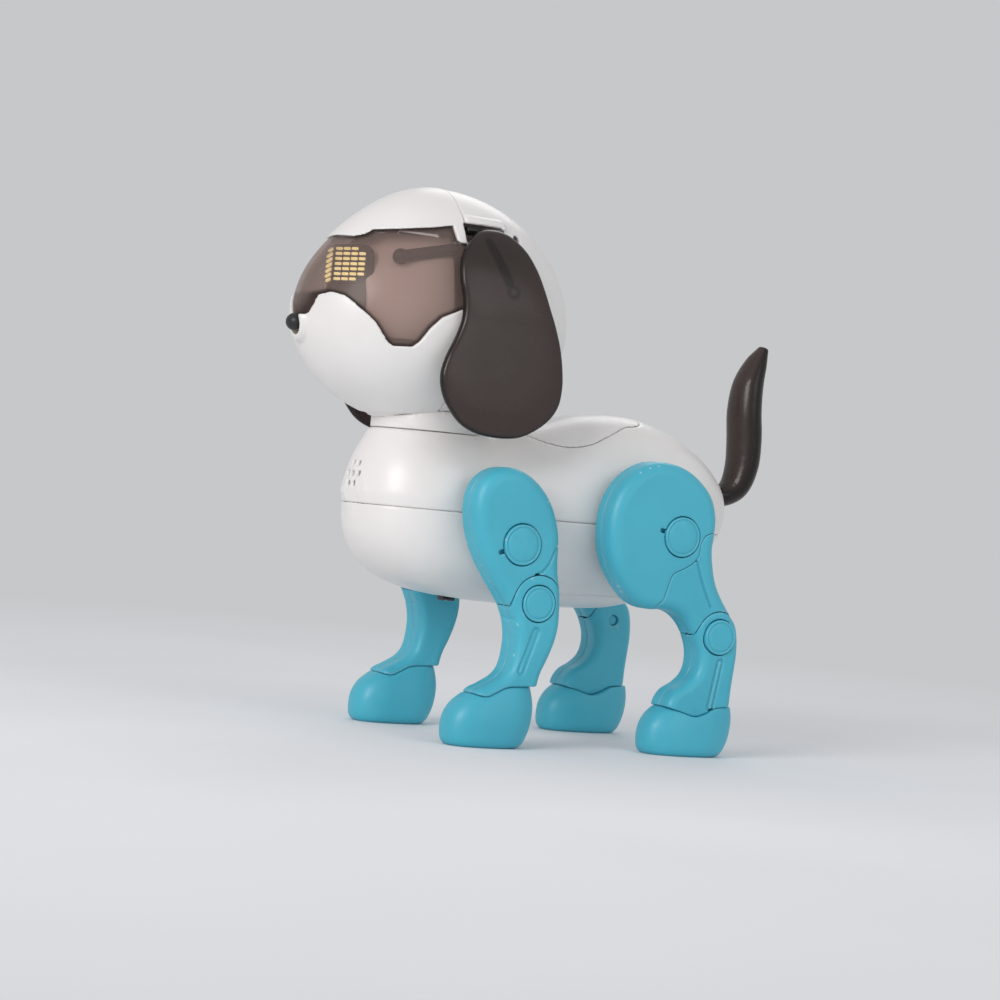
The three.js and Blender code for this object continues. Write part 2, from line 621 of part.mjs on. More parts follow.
function buildLeg(end) {
  const group = new THREE.Group();
  const [hipY, hipZ] = HIP[end];
  const [kneeY, kneeZ] = KNEE[end];
  const across = [0, 60];
  const full = [LEG_IN, LEG_OUT];
  const outside = block([LEG_SPLIT + GAP / 2, 60], [-90, 110], [-10, 120]);
  const inside = block([0, LEG_SPLIT - GAP / 2], [-90, 110], [-10, 120]);
  const hipAt = [0, hipY, hipZ];
  const kneeAt = [0, kneeY, kneeZ];
  const axleRoom = bar('x', AXLE_R + GAP, across, hipAt, 10);
  const pinRoom = bar('x', AXLE_R + GAP, across, kneeAt, 10);
  const hipRecess = bar('x', HIP_CAP_R + GAP, [LEG_OUT - CAP_DEPTH, 60], hipAt, 16);
  const kneeRecess = bar('x', KNEE_CAP_R + GAP, [LEG_OUT - CAP_DEPTH, 60], kneeAt, 16);

  // the whole leg as one plate, without its paw
  const shankPlate = pillow(smooth(SHANK[end], 26), full, SHANK_EDGE);
  let upperPlate = pillow(smoothOpen(THIGH[end], 24), full, THIGH_EDGE);
  if (end === 'rear') upperPlate = upperPlate.add(pillow(smooth(CALF, 20), full, THIGH_EDGE - 1));

  // thigh: the outer shells are rounded covers, the inner shell carries the tongue of the knee
  const upper = upperPlate.subtract(kneeRegion(end, HUB_GAP));
  let cover = upper.intersect(outside);
  if (end === 'rear') {
    const shifted = CALF_SEAM.map(([y, z]) => [y - GAP * 0.8, z + GAP * 0.8]);
    addPair(group, 'calf_cover', '', largest(cover.intersect(sideways(CALF_SEAM, across))), 'teal');
    cover = cover.subtract(sideways(shifted, across));
  }
  const tongue = hubCut(end, TONGUE_R, TONGUE_X);
  const reach = [hipY + (kneeY - hipY) * 0.45, hipZ + (kneeZ - hipZ) * 0.45];
  const link = strut([kneeY, kneeZ], reach, 3.4, [TONGUE_X[0], LEG_SPLIT - GAP / 2]);
  const innerThigh = upper.intersect(inside).add(tongue).add(link).subtract(axleRoom).subtract(pinRoom);
  addPair(group, 'thigh_inner', `${end}_`, largest(innerThigh), 'teal');
  const outerThigh = cover.subtract(axleRoom).subtract(hipRecess).subtract(hubCut(end, TONGUE_R + 1, across));
  addPair(group, 'thigh_outer', `${end}_`, largest(outerThigh), 'teal');

  // shank: two shells with the tongue's room between them
  const tongueRoom = hubCut(end, HUB_R[end] + 3, [TONGUE_X[0] - GAP, TONGUE_X[1] + GAP])
    .intersect(sideways(roomAbove(end), across));
  const shank = shankPlate.add(upperPlate).intersect(kneeRegion(end, 0))
    .subtract(edgeCut(end, GAP, false))
    .subtract(tongueRoom)
    .subtract(pinRoom);
  addPair(group, 'shank_outer', `${end}_`, largest(shank.intersect(outside).subtract(kneeRecess)), 'teal');
  addPair(group, 'shank_inner', `${end}_`, largest(shank.intersect(inside)), 'teal');

  const paw = pawBody(end).subtract(edgeCut(end, 0, true));
  addPair(group, 'paw', `${end}_`, largest(paw), 'teal');

  const capSpan = [LEG_OUT - CAP_DEPTH + GAP, LEG_OUT + 0.5];
  addPair(group, 'hip_cap', `${end}_`, bar('x', HIP_CAP_R, capSpan, hipAt, 16), 'teal');
  const kneePin = bar('x', KNEE_CAP_R, capSpan, kneeAt, 16)
    .add(bar('x', AXLE_R - GAP / 2, [LEG_IN + 1, LEG_OUT - 1], kneeAt, 10));
  addPair(group, 'knee_pin', `${end}_`, kneePin, 'teal');
  return group;
}

// a bar with round ends between two points of the side view
function strut(from, to, half, x) {
  const angle = THREE.MathUtils.radToDeg(Math.atan2(to[1] - from[1], to[0] - from[0]));
  return sideways([...arc(to, half, angle - 90, angle + 90, 6), ...arc(from, half, angle + 90, angle + 270, 6)], x);
}

// the part of the hub's height where the tongue needs room
function roomAbove(end) {
  const [y, z] = KNEE[end];
  return [...arc([y, z], TONGUE_R + 0.8, 180, 360, 5), [y + 30, z], [y + 30, z + 40], [y - 30, z + 40], [y - 30, z]];
}

// ---------------------------------------------------------------- drive

function gearOutline(teeth, turn) {
  const pitch = PITCH(teeth);
  const root = pitch - 1.15 * MODULE;
  const tip = pitch + 0.8 * MODULE;
  const points = [];
  for (let i = 0; i < teeth; i += 1) {
    const middle = turn + 2 * Math.PI * i / teeth;
    const step = 2 * Math.PI / teeth;
    for (const [share, radius] of [[-0.3, root], [-0.1, tip], [0.1, tip], [0.3, root]]) {
      const angle = middle + share * step;
      points.push([radius * Math.cos(angle), radius * Math.sin(angle)]);
    }
  }
  return points;
}

function gear(teeth, y, x, turn) {
  return sideways(gearOutline(teeth, turn).map(([a, b]) => [a + y, b + GEAR_Z]), x);
}

function buildDrive() {
  const group = new THREE.Group();
  const can = bar('x', 10, [-14, 11], [0, MOTOR_Y, GEAR_Z], 24)
    .intersect(block([-20, 20], [MOTOR_Y - 12, MOTOR_Y + 12], [GEAR_Z - 7.5, GEAR_Z + 7.5]))
    .add(bar('x', 3, [10.5, 12], [0, MOTOR_Y, GEAR_Z], 16));
  const shaftRoom = bar('x', 1.3, [5, 20], [0, MOTOR_Y, GEAR_Z], 12);
  addMesh(group, 'motor', can.subtract(shaftRoom), 'steel');

  // every wheel has a tooth towards the motor and every pinion has a gap towards the crank
  const toMotor = 0;
  const toCrank = Math.PI + Math.PI / TEETH.pinion;
  const pinion = gear(TEETH.pinion, MOTOR_Y, [13, 17], toCrank)
    .add(bar('x', 1, [6, 17], [0, MOTOR_Y, GEAR_Z], 12));
  addMesh(group, 'motor_pinion', pinion, 'brass');

  const shaft = (y) => bar('x', SHAFT_R, [3.6, 18.9], [0, y, GEAR_Z], 12);
  const gear1 = gear(TEETH.wheel, GEAR1_Y, PLANE_A, toMotor)
    .add(gear(TEETH.pinion, GEAR1_Y, [PLANE_B[0], PLANE_A[0] + 0.5], toCrank))
    .add(shaft(GEAR1_Y));
  addMesh(group, 'reduction_gear_1', gear1, 'natural');
  const gear2 = gear(TEETH.wheel, GEAR2_Y, PLANE_B, toMotor)
    .add(gear(TEETH.pinion, GEAR2_Y, [PLANE_C[0], PLANE_B[0] + 0.5], toCrank))
    .add(shaft(GEAR2_Y));
  addMesh(group, 'reduction_gear_2', gear2, 'natural');

  // crank: a gear on a cross shaft, with an arm and a pin at each end, half a turn apart
  let crank = gear(TEETH.crank, CRANK_Y, PLANE_C, toMotor)
    .add(bar('x', SHAFT_R, [-19.8, 19.8], [0, CRANK_Y, GEAR_Z], 12));
  for (const side of [-1, 1]) {
    const pinZ = GEAR_Z + side * 4;
    const arm = side > 0 ? [19, 20] : [-20, -19];
    const peg = side > 0 ? [19.8, 21.1] : [-21.1, -19.8];
    crank = crank.add(strut([CRANK_Y, GEAR_Z], [CRANK_Y, pinZ], 2.2, arm))
      .add(bar('x', 1.2, peg, [0, CRANK_Y, pinZ], 12));
  }
  addMesh(group, 'crank_gear', crank, 'natural');

  const holes = [GEAR1_Y, GEAR2_Y, CRANK_Y].map((y) => bar('x', SHAFT_R + GAP, [0, 30], [0, y, GEAR_Z], 12));
  const span = [CRANK_Y - 5, GEAR1_Y + 4.4];
  let frame = block(PLATE_OUT, span, [76, GEAR_Z + 5])
    .add(block(PLATE_IN, span, [76, GEAR_Z + 5]))
    .add(block([PLATE_IN[0], PLATE_OUT[1]], span, [74.6, 76.4]));
  for (const hole of holes) frame = frame.subtract(hole);
  addMesh(group, 'gearbox_frame', frame, 'natural');
  return group;
}

function buildInside() {
  const group = new THREE.Group();
  for (const end of ['front', 'rear']) {
    const [y, z] = HIP[end];
    addMesh(group, `hip_axle_${end}`, bar('x', AXLE_R, [-LEG_OUT + CAP_DEPTH, LEG_OUT - CAP_DEPTH], [0, y, z], 16),
      'steel');
  }
  for (let i = 0; i < 3; i += 1) {
    const x = (i - 1) * CELL.pitch;
    const way = i === 1 ? -1 : 1;
    const start = CELL.y;
    const end = CELL.y + CELL.length;
    const can = bar('y', CELL.r, [start + (way < 0 ? 1.4 : 0), end - (way > 0 ? 1.4 : 0)], [x, 0, CELL.z], 20);
    const cap = bar('y', 2.6, way > 0 ? [end - 2, end] : [start, start + 2], [x, 0, CELL.z], 12);
    addMesh(group, `battery_${i + 1}`, can.add(cap), 'cell');
  }
  const board = block([-13, 13], [43, 63], [82, 83.4])
    .add(block([-6, 5], [47, 56], [83.3, 85.2]))
    .add(block([7, 11], [52, 60], [83.3, 86.4]));
  addMesh(group, 'circuit_board', board, 'green');
  const speaker = bar('y', 11, [-56.5, -54.8], [0, 0, 84], 24)
    .add(bar('y', 7, [-55, -49], [0, 0, 84], 20));
  addMesh(group, 'speaker', speaker, 'steel');
  const tailPin = bar('z', 1.2, [87.4, 96.8], [0, TAIL_PIN_Y, 0], 12);
  addMesh(group, 'tail_pin', tailPin, 'steel');
  return group;
}

// ---------------------------------------------------------------- assembly

dog.add(buildTorso());
dog.add(buildHead());
addPair(dog, 'ear', '', buildEar(), 'smoke');
addMesh(dog, 'tail', buildTail(), 'smoke');
dog.add(buildLeg('front'));
dog.add(buildLeg('rear'));
dog.add(buildDrive());
dog.add(buildInside());

export default dog;
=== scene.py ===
"""Looks of the robot dog toy: smooth shells, tinted parts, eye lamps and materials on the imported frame.

Sizes are in millimetres in the frame of the part: the dog faces -Y, its left flank is +X, +Z is up.
Each shell is a distance field (negative inside) that is meshed by a surface net.
"""

import math
from functools import partial
from itertools import product

import bpy
import numpy as np
from mathutils import Matrix, Vector


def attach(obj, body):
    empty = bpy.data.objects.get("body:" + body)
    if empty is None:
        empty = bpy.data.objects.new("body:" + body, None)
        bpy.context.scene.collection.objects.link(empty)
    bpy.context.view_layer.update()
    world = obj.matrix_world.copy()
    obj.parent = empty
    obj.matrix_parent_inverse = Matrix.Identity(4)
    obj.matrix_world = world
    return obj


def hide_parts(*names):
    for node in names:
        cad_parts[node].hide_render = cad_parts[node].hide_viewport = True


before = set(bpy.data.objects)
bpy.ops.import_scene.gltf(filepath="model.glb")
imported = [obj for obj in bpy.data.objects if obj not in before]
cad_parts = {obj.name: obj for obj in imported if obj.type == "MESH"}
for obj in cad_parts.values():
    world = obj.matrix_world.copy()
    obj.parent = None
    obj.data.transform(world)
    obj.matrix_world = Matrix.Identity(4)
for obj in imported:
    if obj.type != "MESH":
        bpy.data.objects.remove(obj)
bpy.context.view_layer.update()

# ---- driving sizes

MM = 0.001
STEP_SCALE = 1.0  # coarser meshes while trying things

HIP = {"front": (-22.6, 69.0), "rear": (40.2, 76.3)}  # y, z of the hip axles
KNEE = {"front": (-14.3, 49.6), "rear": (59.5, 42.4)}  # y, z of the knee pins
LEG_IN, LEG_OUT, LEG_SPLIT = 29.2, 44.0, 36.6
THIGH_EDGE, SHANK_EDGE = 4.5, 3.2
HIP_CAP_R, KNEE_CAP_R, CAP_DEPTH = 7.0, 6.2, 2.4
CAP_X = (LEG_OUT - CAP_DEPTH + 0.3, LEG_OUT + 0.45)  # floor of a cap's recess, face of the cap
HUB_R = {"front": 9.5, "rear": 8.8}
HUB_GAP = 0.3
AXLE_R, AXLE_GAP = 2.0, 0.3
TONGUE_R, TONGUE_X = 5.4, (34.6, 38.6)
PAW_X = (26.0, 46.0)
PAW_TOP = 23.0
PAW_Y = {"front": (-42.5, -10.2), "rear": (35.0, 70.4)}
PAW_POWER = 2.5  # how square a paw's floor plan is
SEAM = 0.14  # open gap at a parting line
CREASE = 0.28  # rounding of a moulded edge

HEAD_C = (0.0, -45.5, 142.5)
HEAD_R = (36.0, 48.0, 46.0)  # half width, length ahead, height above
HEAD_BACK = 53.0
HEAD_DROP = 36.0
CROWN_FLAT = 0.065  # the forehead is flatter than an ellipsoid
HEAD_SEAM_Y = -46.0
PROUD = 0.25  # of the cap and the face shell over the rear shell
NOSE_Y, NOSE_Z, NOSE_BACK = -94.0, 137.0, -93.6
NOSE_HALF = (3.5, 3.0, 3.0)
NOSE_RING_R, NOSE_HOLE_R = 6.2, 4.1  # the face's raised ring and hole about the nose
NOSE_STALK_R, NOSE_STALK_Y = 2.2, (-94.5, -88.0)
VISOR_INSET, VISOR_WALL = 0.55, 1.5
REAR_HOLE, REAR_HOLE_R = (-24.5, 172.5), 1.5  # y, z of the small hole high on each flank
NECK_Y, NECK_TOP = -41.0, 104.5
COLLAR_R, COLLAR_TOP = 19.2, 112.0
SPIGOT_R = 8.0
WALL = 2.0

BODY_SEAM_Z = 78.0
BODY_POWER = 2.5
# torso stations: y, top, bottom, half width
BODY = (
    (-67, 84, 72, 4), (-65.3, 91, 66, 11), (-61, 98, 59.5, 17.5), (-54, 102, 54, 22.5),
    (-45, 104, 50.5, 25.5), (-34, 104.5, 48.6, 27), (-18, 106, 47.4, 27.8), (0, 111, 47, 28),
    (18, 116, 47.2, 28), (36, 117, 48.6, 28), (50, 114, 53.5, 26.5), (62, 108.5, 61.5, 23.5),
    (71, 101.5, 69, 18.5), (77, 95, 76.5, 12), (80, 89, 83, 4),
)
EAR_HINGE = (25.5, 173.2)  # x, z of a hinge pin
EAR_THICK = 3.2
DOOR_X, DOOR_Y, DOOR_Z = 18.0, (-9.0, 45.0), 60.0
DOOR_RIB_X, DOOR_RIB_Y, DOOR_RIB_PITCH = 6, -4, 2.4  # finger grooves: half length, first, distance
SCREW_Y, SCREW_Z = 41.0, 55.0
SWITCH_Y, SWITCH_Z = -27.0, 46.6
TAIL_PIN_Y, TAIL_SLOT = 70.0, ((-8.5, 8.5), (66, 90), (86.5, 97.5))

# ---- distance fields


def both(a, b, edge=0.0):
    """Where a and b overlap, with a rounded edge."""
    if np.isscalar(edge) and edge == 0:
        return np.maximum(a, b)
    u = np.maximum(a + edge, 0)
    v = np.maximum(b + edge, 0)
    return np.minimum(np.maximum(a, b) + edge, 0) + np.sqrt(u * u + v * v) - edge


def either(a, b, edge=0.0):
    """a and b joined, with a filleted corner."""
    return -both(-a, -b, edge)


def cut(a, b, edge=0.0):
    """a without b."""
    return both(a, -b, edge)


def slab(v, low, high):
    return np.maximum(low - v, v - high)


def disc(u, v, centre, radius):
    return np.sqrt((u - centre[0]) ** 2 + (v - centre[1]) ** 2) - radius


def capsule(u, v, a, b, radius):
    """Distance to a bar with round ends between two points of a plane."""
    du, dv = b[0] - a[0], b[1] - a[1]
    t = np.clip(((u - a[0]) * du + (v - a[1]) * dv) / (du * du + dv * dv), 0, 1)
    return np.sqrt((u - a[0] - t * du) ** 2 + (v - a[1] - t * dv) ** 2) - radius


def capsule3(x, y, z, a, b, radius):
    """Distance to a bar with round ends between two points of space."""
    d = [b[k] - a[k] for k in range(3)]
    size = sum(v * v for v in d)
    t = np.clip(((x - a[0]) * d[0] + (y - a[1]) * d[1] + (z - a[2]) * d[2]) / size, 0, 1)
    return np.sqrt((x - a[0] - t * d[0]) ** 2 + (y - a[1] - t * d[1]) ** 2
                   + (z - a[2] - t * d[2]) ** 2) - radius


def span(middle, reach):
    """The places a reach to either side of a middle."""
    return middle - reach, middle + reach


def plan(u, v, us, vs, corner):
    """A rectangle of a plane, between two places on each axis."""
    return both(slab(u, *us), slab(v, *vs), corner)


def block(x, y, z, xs, ys, zs, corner, edge):
    """A rectangle of the floor plan between two heights."""
    return both(plan(x, y, xs, ys, corner), slab(z, *zs), edge)


def rod(u, v, w, centre, radius, ws, edge):
    """A round bar along w, about a point of the plane of u and v."""
    return both(disc(u, v, centre, radius), slab(w, *ws), edge)


def differences(field, x, y, z, eps):
    """How much a field rises along each axis from eps behind a point to eps ahead of it."""
    return (field(x + eps, y, z) - field(x - eps, y, z),
            field(x, y + eps, z) - field(x, y - eps, z),
            field(x, y, z + eps) - field(x, y, z - eps))


def even(field, x, y, z, eps=0.25):
    """The field divided by its slope, so that it reads as a distance near its surface."""
    gx, gy, gz = differences(field, x, y, z, eps)
    return field(x, y, z) / np.maximum(np.sqrt(gx * gx + gy * gy + gz * gz) / (2 * eps), 1e-3)


def groove(body, line, width, depth, edge=0.18):
    """body with a channel along line, whose distance is unsigned."""
    return cut(body, np.maximum(line - width / 2, -depth - body), edge)


def smooth(points, closed, per_span=8):
    """A centripetal Catmull-Rom curve through a few points."""
    p = np.array(points, float)
    if closed:
        ring = np.vstack([p[-1], p, p[0], p[1]])
    else:
        ring = np.vstack([2 * p[0] - p[1], p, 2 * p[-1] - p[-2]])
    out = []
    for k in range(1, len(ring) - 2):
        a, b, c, d = ring[k - 1:k + 3]
        t0, t1, t2 = (max(np.hypot(*(q - r)) ** 0.5, 1e-4) for q, r in ((b, a), (c, b), (d, c)))
        m1 = ((b - a) / t0 - (c - a) / (t0 + t1) + (c - b) / t1) * t1
        m2 = ((c - b) / t1 - (d - b) / (t1 + t2) + (d - c) / t2) * t1
        for i in range(per_span):
            t = i / per_span
            out.append(b + m1 * t + (3 * (c - b) - 2 * m1 - m2) * t ** 2
                       + (2 * (b - c) + m1 + m2) * t ** 3)
    if not closed:
        out.append(ring[-2])
    return np.array(out)


class Outline:
    """A closed outline in a plane. Called with two coordinates, it gives the distance, negative inside."""

    def __init__(self, points, cell=0.25, margin=6.0):
        p = np.array(points, float)
        self.cell = cell
        self.low = p.min(0) - margin
        counts = np.ceil((p.max(0) + margin - self.low) / cell).astype(int) + 1
        self.high = self.low + cell * (counts - 1)
        u = (self.low[0] + cell * np.arange(counts[0]))[:, None]
        v = (self.low[1] + cell * np.arange(counts[1]))[None, :]
        best = np.full(tuple(counts), 1e9)
        odd = np.zeros(tuple(counts), bool)
        for a, b in zip(p, np.roll(p, -1, 0)):
            if np.hypot(*(b - a)) < 1e-6:
                continue
            best = np.minimum(best, capsule(u, v, a, b, 0))
            crosses = (a[1] > v) != (b[1] > v)
            slope = (b[0] - a[0]) / (b[1] - a[1]) if b[1] != a[1] else 0
            odd ^= crosses & (u < a[0] + slope * (v - a[1]))
        self.grid = np.where(odd, -best, best)

    def __call__(self, u, v):
        cu = np.clip(u, self.low[0], self.high[0] - 1e-6)
        cv = np.clip(v, self.low[1], self.high[1] - 1e-6)
        fu, fv = (cu - self.low[0]) / self.cell, (cv - self.low[1]) / self.cell
        i, j = np.floor(fu).astype(int), np.floor(fv).astype(int)
        i = np.minimum(i, self.grid.shape[0] - 2)
        j = np.minimum(j, self.grid.shape[1] - 2)
        a, b = fu - i, fv - j
        g = self.grid
        inside = (g[i, j] * (1 - a) * (1 - b) + g[i + 1, j] * a * (1 - b)
                  + g[i, j + 1] * (1 - a) * b + g[i + 1, j + 1] * a * b)
        return inside + np.sqrt((u - cu) ** 2 + (v - cv) ** 2)


def polyline(points, u, v):
    """Unsigned distance to an open line."""
    best = None
    for a, b in zip(points[:-1], points[1:]):
        d = capsule(u, v, a, b, 0)
        best = d if best is None else np.minimum(best, d)
    return best


# ---- meshing


def surface_net(field, low, high, step):
    """A smooth quad mesh of the zero level of a field: one point in each cell that the surface crosses."""
    low = np.array(low, float)
    counts = np.ceil((np.array(high, float) - low) / step).astype(int) + 1
    axes = [low[k] + step * np.arange(counts[k]) for k in range(3)]
    values = field(axes[0][:, None, None], axes[1][None, :, None], axes[2][None, None, :])
    values = np.broadcast_to(values, tuple(counts)).astype(np.float32)
    inside = values < 0
    some = np.zeros(tuple(counts - 1), bool)
    every = np.ones(tuple(counts - 1), bool)
    for i, j, k in product((0, 1), repeat=3):
        part = inside[i:counts[0] - 1 + i, j:counts[1] - 1 + j, k:counts[2] - 1 + k]
        some |= part
        every &= part
    cells = np.argwhere(some & ~every)
    number = np.full(tuple(counts - 1), -1, np.int32)
    number[tuple(cells.T)] = np.arange(len(cells))

    # each point is the mean of the places where the surface crosses the edges of its cell
    total = np.zeros((len(cells), 3))
    crossed = np.zeros(len(cells))
    for axis in range(3):
        for sides in product((0, 1), repeat=2):
            start = np.insert(sides, axis, 0)
            end = np.insert(sides, axis, 1)
            va = values[tuple((cells + start).T)].astype(float)
            vb = values[tuple((cells + end).T)].astype(float)
            hit = (va < 0) != (vb < 0)
            share = np.where(hit, va / np.where(hit, va - vb, 1), 0)
            for k in range(3):
                place = start[k] + (share if k == axis else 0)
                total[:, k] += np.where(hit, place, 0)
            crossed += hit
    points = low + step * (cells + total / crossed[:, None])

    # a quad joins the four cells about each edge that the surface crosses
    quads = []
    for axis in range(3):
        others = [(axis + 1) % 3, (axis + 2) % 3]
        first = [slice(1, -1)] * 3
        second = [slice(1, -1)] * 3
        first[axis], second[axis] = slice(0, -1), slice(1, None)
        a, b = inside[tuple(first)], inside[tuple(second)]
        edges = np.argwhere(a != b)
        rising = a[tuple(edges.T)]
        ring = []
        for s, t in ((0, 0), (1, 0), (1, 1), (0, 1)):
            cell = edges.copy()
            cell[:, others[0]] += s
            cell[:, others[1]] += t
            ring.append(number[tuple(cell.T)])
        quad = np.stack(ring, 1)
        quad[~rising] = quad[~rising][:, ::-1]
        quads.append(quad)
    quads = np.vstack(quads)

    # the points then slide onto the surface, by less than a cell
    origin = points.copy()
    eps = 0.02
    for _ in range(3):
        x, y, z = points.T
        g = np.stack(differences(field, x, y, z, eps), 1) / (2 * eps)
        size = np.maximum((g * g).sum(1), 0.05)
        move = g * (field(x, y, z) / size)[:, None]
        points = points - np.clip(move, -0.4 * step, 0.4 * step)
        points = origin + np.clip(points - origin, -0.6 * step, 0.6 * step)
    return points, quads


def placed(name, data):
    """A new object in the scene."""
    obj = bpy.data.objects.new(name, data)
    bpy.context.scene.collection.objects.link(obj)
    return obj


def new_object(name, mesh, material, body, node=None):
    """A piece that rides a body, in place of a CAD node where one is named."""
    obj = placed(name, mesh)
    mesh.materials.append(material)
    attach(obj, body)
    if node:
        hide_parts(node)


def thinned(mesh, share):
    """The mesh with fewer faces on its flat stretches."""
    if share >= 1:
        return mesh
    holder = placed("thinning", mesh)
    modifier = holder.modifiers.new("fewer", "DECIMATE")
    modifier.ratio = share
    graph = bpy.context.evaluated_depsgraph_get()
    result = bpy.data.meshes.new_from_object(holder.evaluated_get(graph))
    bpy.data.objects.remove(holder)
    return result


def field_mesh(name, field, low, high, step, share=1.0, marks=None):
    points, quads = surface_net(field, low, high, step * STEP_SCALE)
    mesh = bpy.data.meshes.new(name)
    mesh.from_pydata((points * MM).tolist(), [], quads.tolist())
    mesh.validate()
    mesh = thinned(mesh, share)
    mesh.name = name
    mesh.polygons.foreach_set("use_smooth", np.ones(len(mesh.polygons), bool))
    for mark, f in (marks or {}).items():
        co = np.empty(len(mesh.vertices) * 3)
        mesh.vertices.foreach_get("co", co)
        x, y, z = (co.reshape(-1, 3) / MM).T
        layer = mesh.attributes.new(mark, "FLOAT", "POINT")
        layer.data.foreach_set("value", np.broadcast_to(f(x, y, z), x.shape).astype(np.float32))
    return mesh


def add_piece(name, node, body, field, low, high, step, share, material, marks=None):
    """Mesh a field between two corners and add it as a piece."""
    new_object(name, field_mesh(name, field, low, high, step, share, marks), material, body, node)


def mirrored(mesh):
    copy = mesh.copy()
    copy.transform(Matrix.Scale(-1, 4, (1, 0, 0)))
    copy.flip_normals()
    return copy


# ---- materials


class Nodes:
    """Short calls for building a node material."""

    def __init__(self, name):
        self.material = bpy.data.materials.new(name)
        self.material.use_nodes = True
        self.tree = self.material.node_tree
        self.tree.nodes.clear()
        self.out = self.add("OutputMaterial")
        self.place = self.add("TexCoord").outputs["Object"]

    def add(self, kind, **values):
        """A new shader node. Each value is an input of that name, with _ for a space, or else a setting."""
        node = self.tree.nodes.new(f"ShaderNode{kind}")
        for key, value in values.items():
            name = key.replace("_", " ")
            if name in node.inputs:
                self.put(node.inputs[name], value)
            else:
                setattr(node, key, value)
        return node

    def put(self, socket, value):
        if isinstance(value, bpy.types.NodeSocket):
            self.tree.links.new(value, socket)
        else:
            socket.default_value = value

    def noise(self, scale, detail=2.0, roughness=0.5):
        node = self.add("TexNoise", Vector=self.place, Scale=scale, Detail=detail, Roughness=roughness)
        return node.outputs["Fac"]

    def ramp(self, value, low, high, to_low, to_high):
        node = self.add("MapRange")
        for k, v in enumerate((value, low, high, to_low, to_high)):
            self.put(node.inputs[k], v)
        return node.outputs[0]

    def vary(self, noise, low, high):
        """Noise spread between two values."""
        return self.ramp(noise, 0.3, 0.7, low, high)

    def mix(self, share, a, b):
        node = self.add("Mix", data_type="RGBA", Factor=share)
        self.put(node.inputs[6], a)
        self.put(node.inputs[7], b)
        return node.outputs[2]

    def math(self, operation, a, b):
        node = self.add("Math", operation=operation)
        self.put(node.inputs[0], a)
        self.put(node.inputs[1], b)
        return node.outputs[0]

    def bump(self, height, strength, distance, normal=None):
        node = self.add("Bump", Strength=strength, Distance=distance, Height=height)
        if normal is not None:
            self.put(node.inputs["Normal"], normal)
        return node.outputs["Normal"]

    def principled(self, colour, roughness, normal, **more):
        return self.add("BsdfPrincipled", Base_Color=colour, Roughness=roughness, Normal=normal,
                        **more)

    def blend(self, share, a, b):
        """A mix of two shaders."""
        node = self.add("MixShader", Fac=share)
        self.put(node.inputs[1], a.outputs[0])
        self.put(node.inputs[2], b.outputs[0])
        return node

    def done(self, shader):
        self.put(self.out.inputs["Surface"], shader.outputs[0])
        return self.material


def linear(hex_colour):
    """A linear RGBA colour from an sRGB hex string."""
    parts = [int(hex_colour[k:k + 2], 16) / 255 for k in (0, 2, 4)]
    return tuple(c / 12.92 if c <= 0.04045 else ((c + 0.055) / 1.055) ** 2.4 for c in parts) + (1.0,)


def moulded(name, colour, deep, roughness=0.36, coat=0.0, glow=0.0):
    """Satin moulded plastic: fine grain and faint flow marks, with a painted highlight that makes edges a
    touch lighter and painted shade that makes creases darker.
    """
    n = Nodes(name)
    flow = n.noise(28.0, 3.0)
    grain = n.noise(2600.0, 2.0)
    fine = n.noise(520.0, 3.0, 0.6)
    base = n.mix(n.ramp(flow, 0.35, 0.65, 0.0, 0.35), linear(colour), linear(deep))
    point = n.add("NewGeometry").outputs["Pointiness"]
    # painted shade: creases, where pointiness is low, are darkened towards the deep colour
    base = n.mix(n.ramp(point, 0.40, 0.49, 0.55, 0.0), base, linear(deep))
    # painted highlight: sharp edges, where pointiness is high, are lightened towards white
    base = n.mix(n.ramp(point, 0.53, 0.62, 0.0, 0.22), base, (1, 1, 1, 1))
    rough = n.vary(fine, roughness - 0.05, roughness + 0.06)
    normal = n.bump(grain, 0.12, 0.00012)
    normal = n.bump(fine, 0.06, 0.0003, normal)
    shader = n.principled(base, rough, normal, Coat_Weight=coat, Coat_Roughness=0.25, Subsurface_Weight=glow,
                          Subsurface_Radius=(0.004, 0.004, 0.004), Subsurface_Scale=0.4)
    return n.done(shader)


def tinted(name, tint, body_colour, milk, rim_colour):
    """Tinted clear plastic: it filters what is behind it, and its rims and rib marks are darker, as is an
    ear's top, where the same mark carries painted shade.
    """
    n = Nodes(name)
    rim = n.add("Attribute", attribute_name="rim").outputs["Fac"]
    cloud = n.noise(60.0, 2.0)
    facing = n.add("LayerWeight", Blend=0.35).outputs["Facing"]
    veil = n.mix(n.ramp(facing, 0.0, 1.0, 0.0, 0.5), linear(tint), linear(rim_colour))
    veil = n.mix(rim, veil, linear(rim_colour))
    clear = n.add("BsdfTransparent", Color=veil)
    scratches = n.noise(900.0, 3.0, 0.7)
    normal = n.bump(scratches, 0.05, 0.0001)
    rough = n.vary(cloud, 0.2, 0.32)
    shade = n.mix(rim, linear(body_colour), linear(rim_colour))
    gloss = n.principled(shade, rough, normal)
    glance = n.math("POWER", n.add("LayerWeight", Blend=0.5).outputs["Facing"], 4.0)
    return n.done(n.blend(n.ramp(glance, 0.0, 1.0, milk, 0.9), clear, gloss))


def metal(name, colour, roughness):
    """Worked metal with fine lines along x."""
    n = Nodes(name)
    mapping = n.add("Mapping", Vector=n.place, Scale=(6.0, 1.0, 1.0))
    lines = n.add("TexNoise", Vector=mapping.outputs[0], Scale=900.0, Detail=4.0).outputs["Fac"]
    rough = n.vary(lines, roughness - 0.08, roughness + 0.12)
    shade = n.mix(n.vary(n.noise(80.0), 0, 0.4), linear(colour), linear("8c8f94"))
    return n.done(n.principled(shade, rough, n.bump(lines, 0.1, 0.0001), Metallic=1.0))


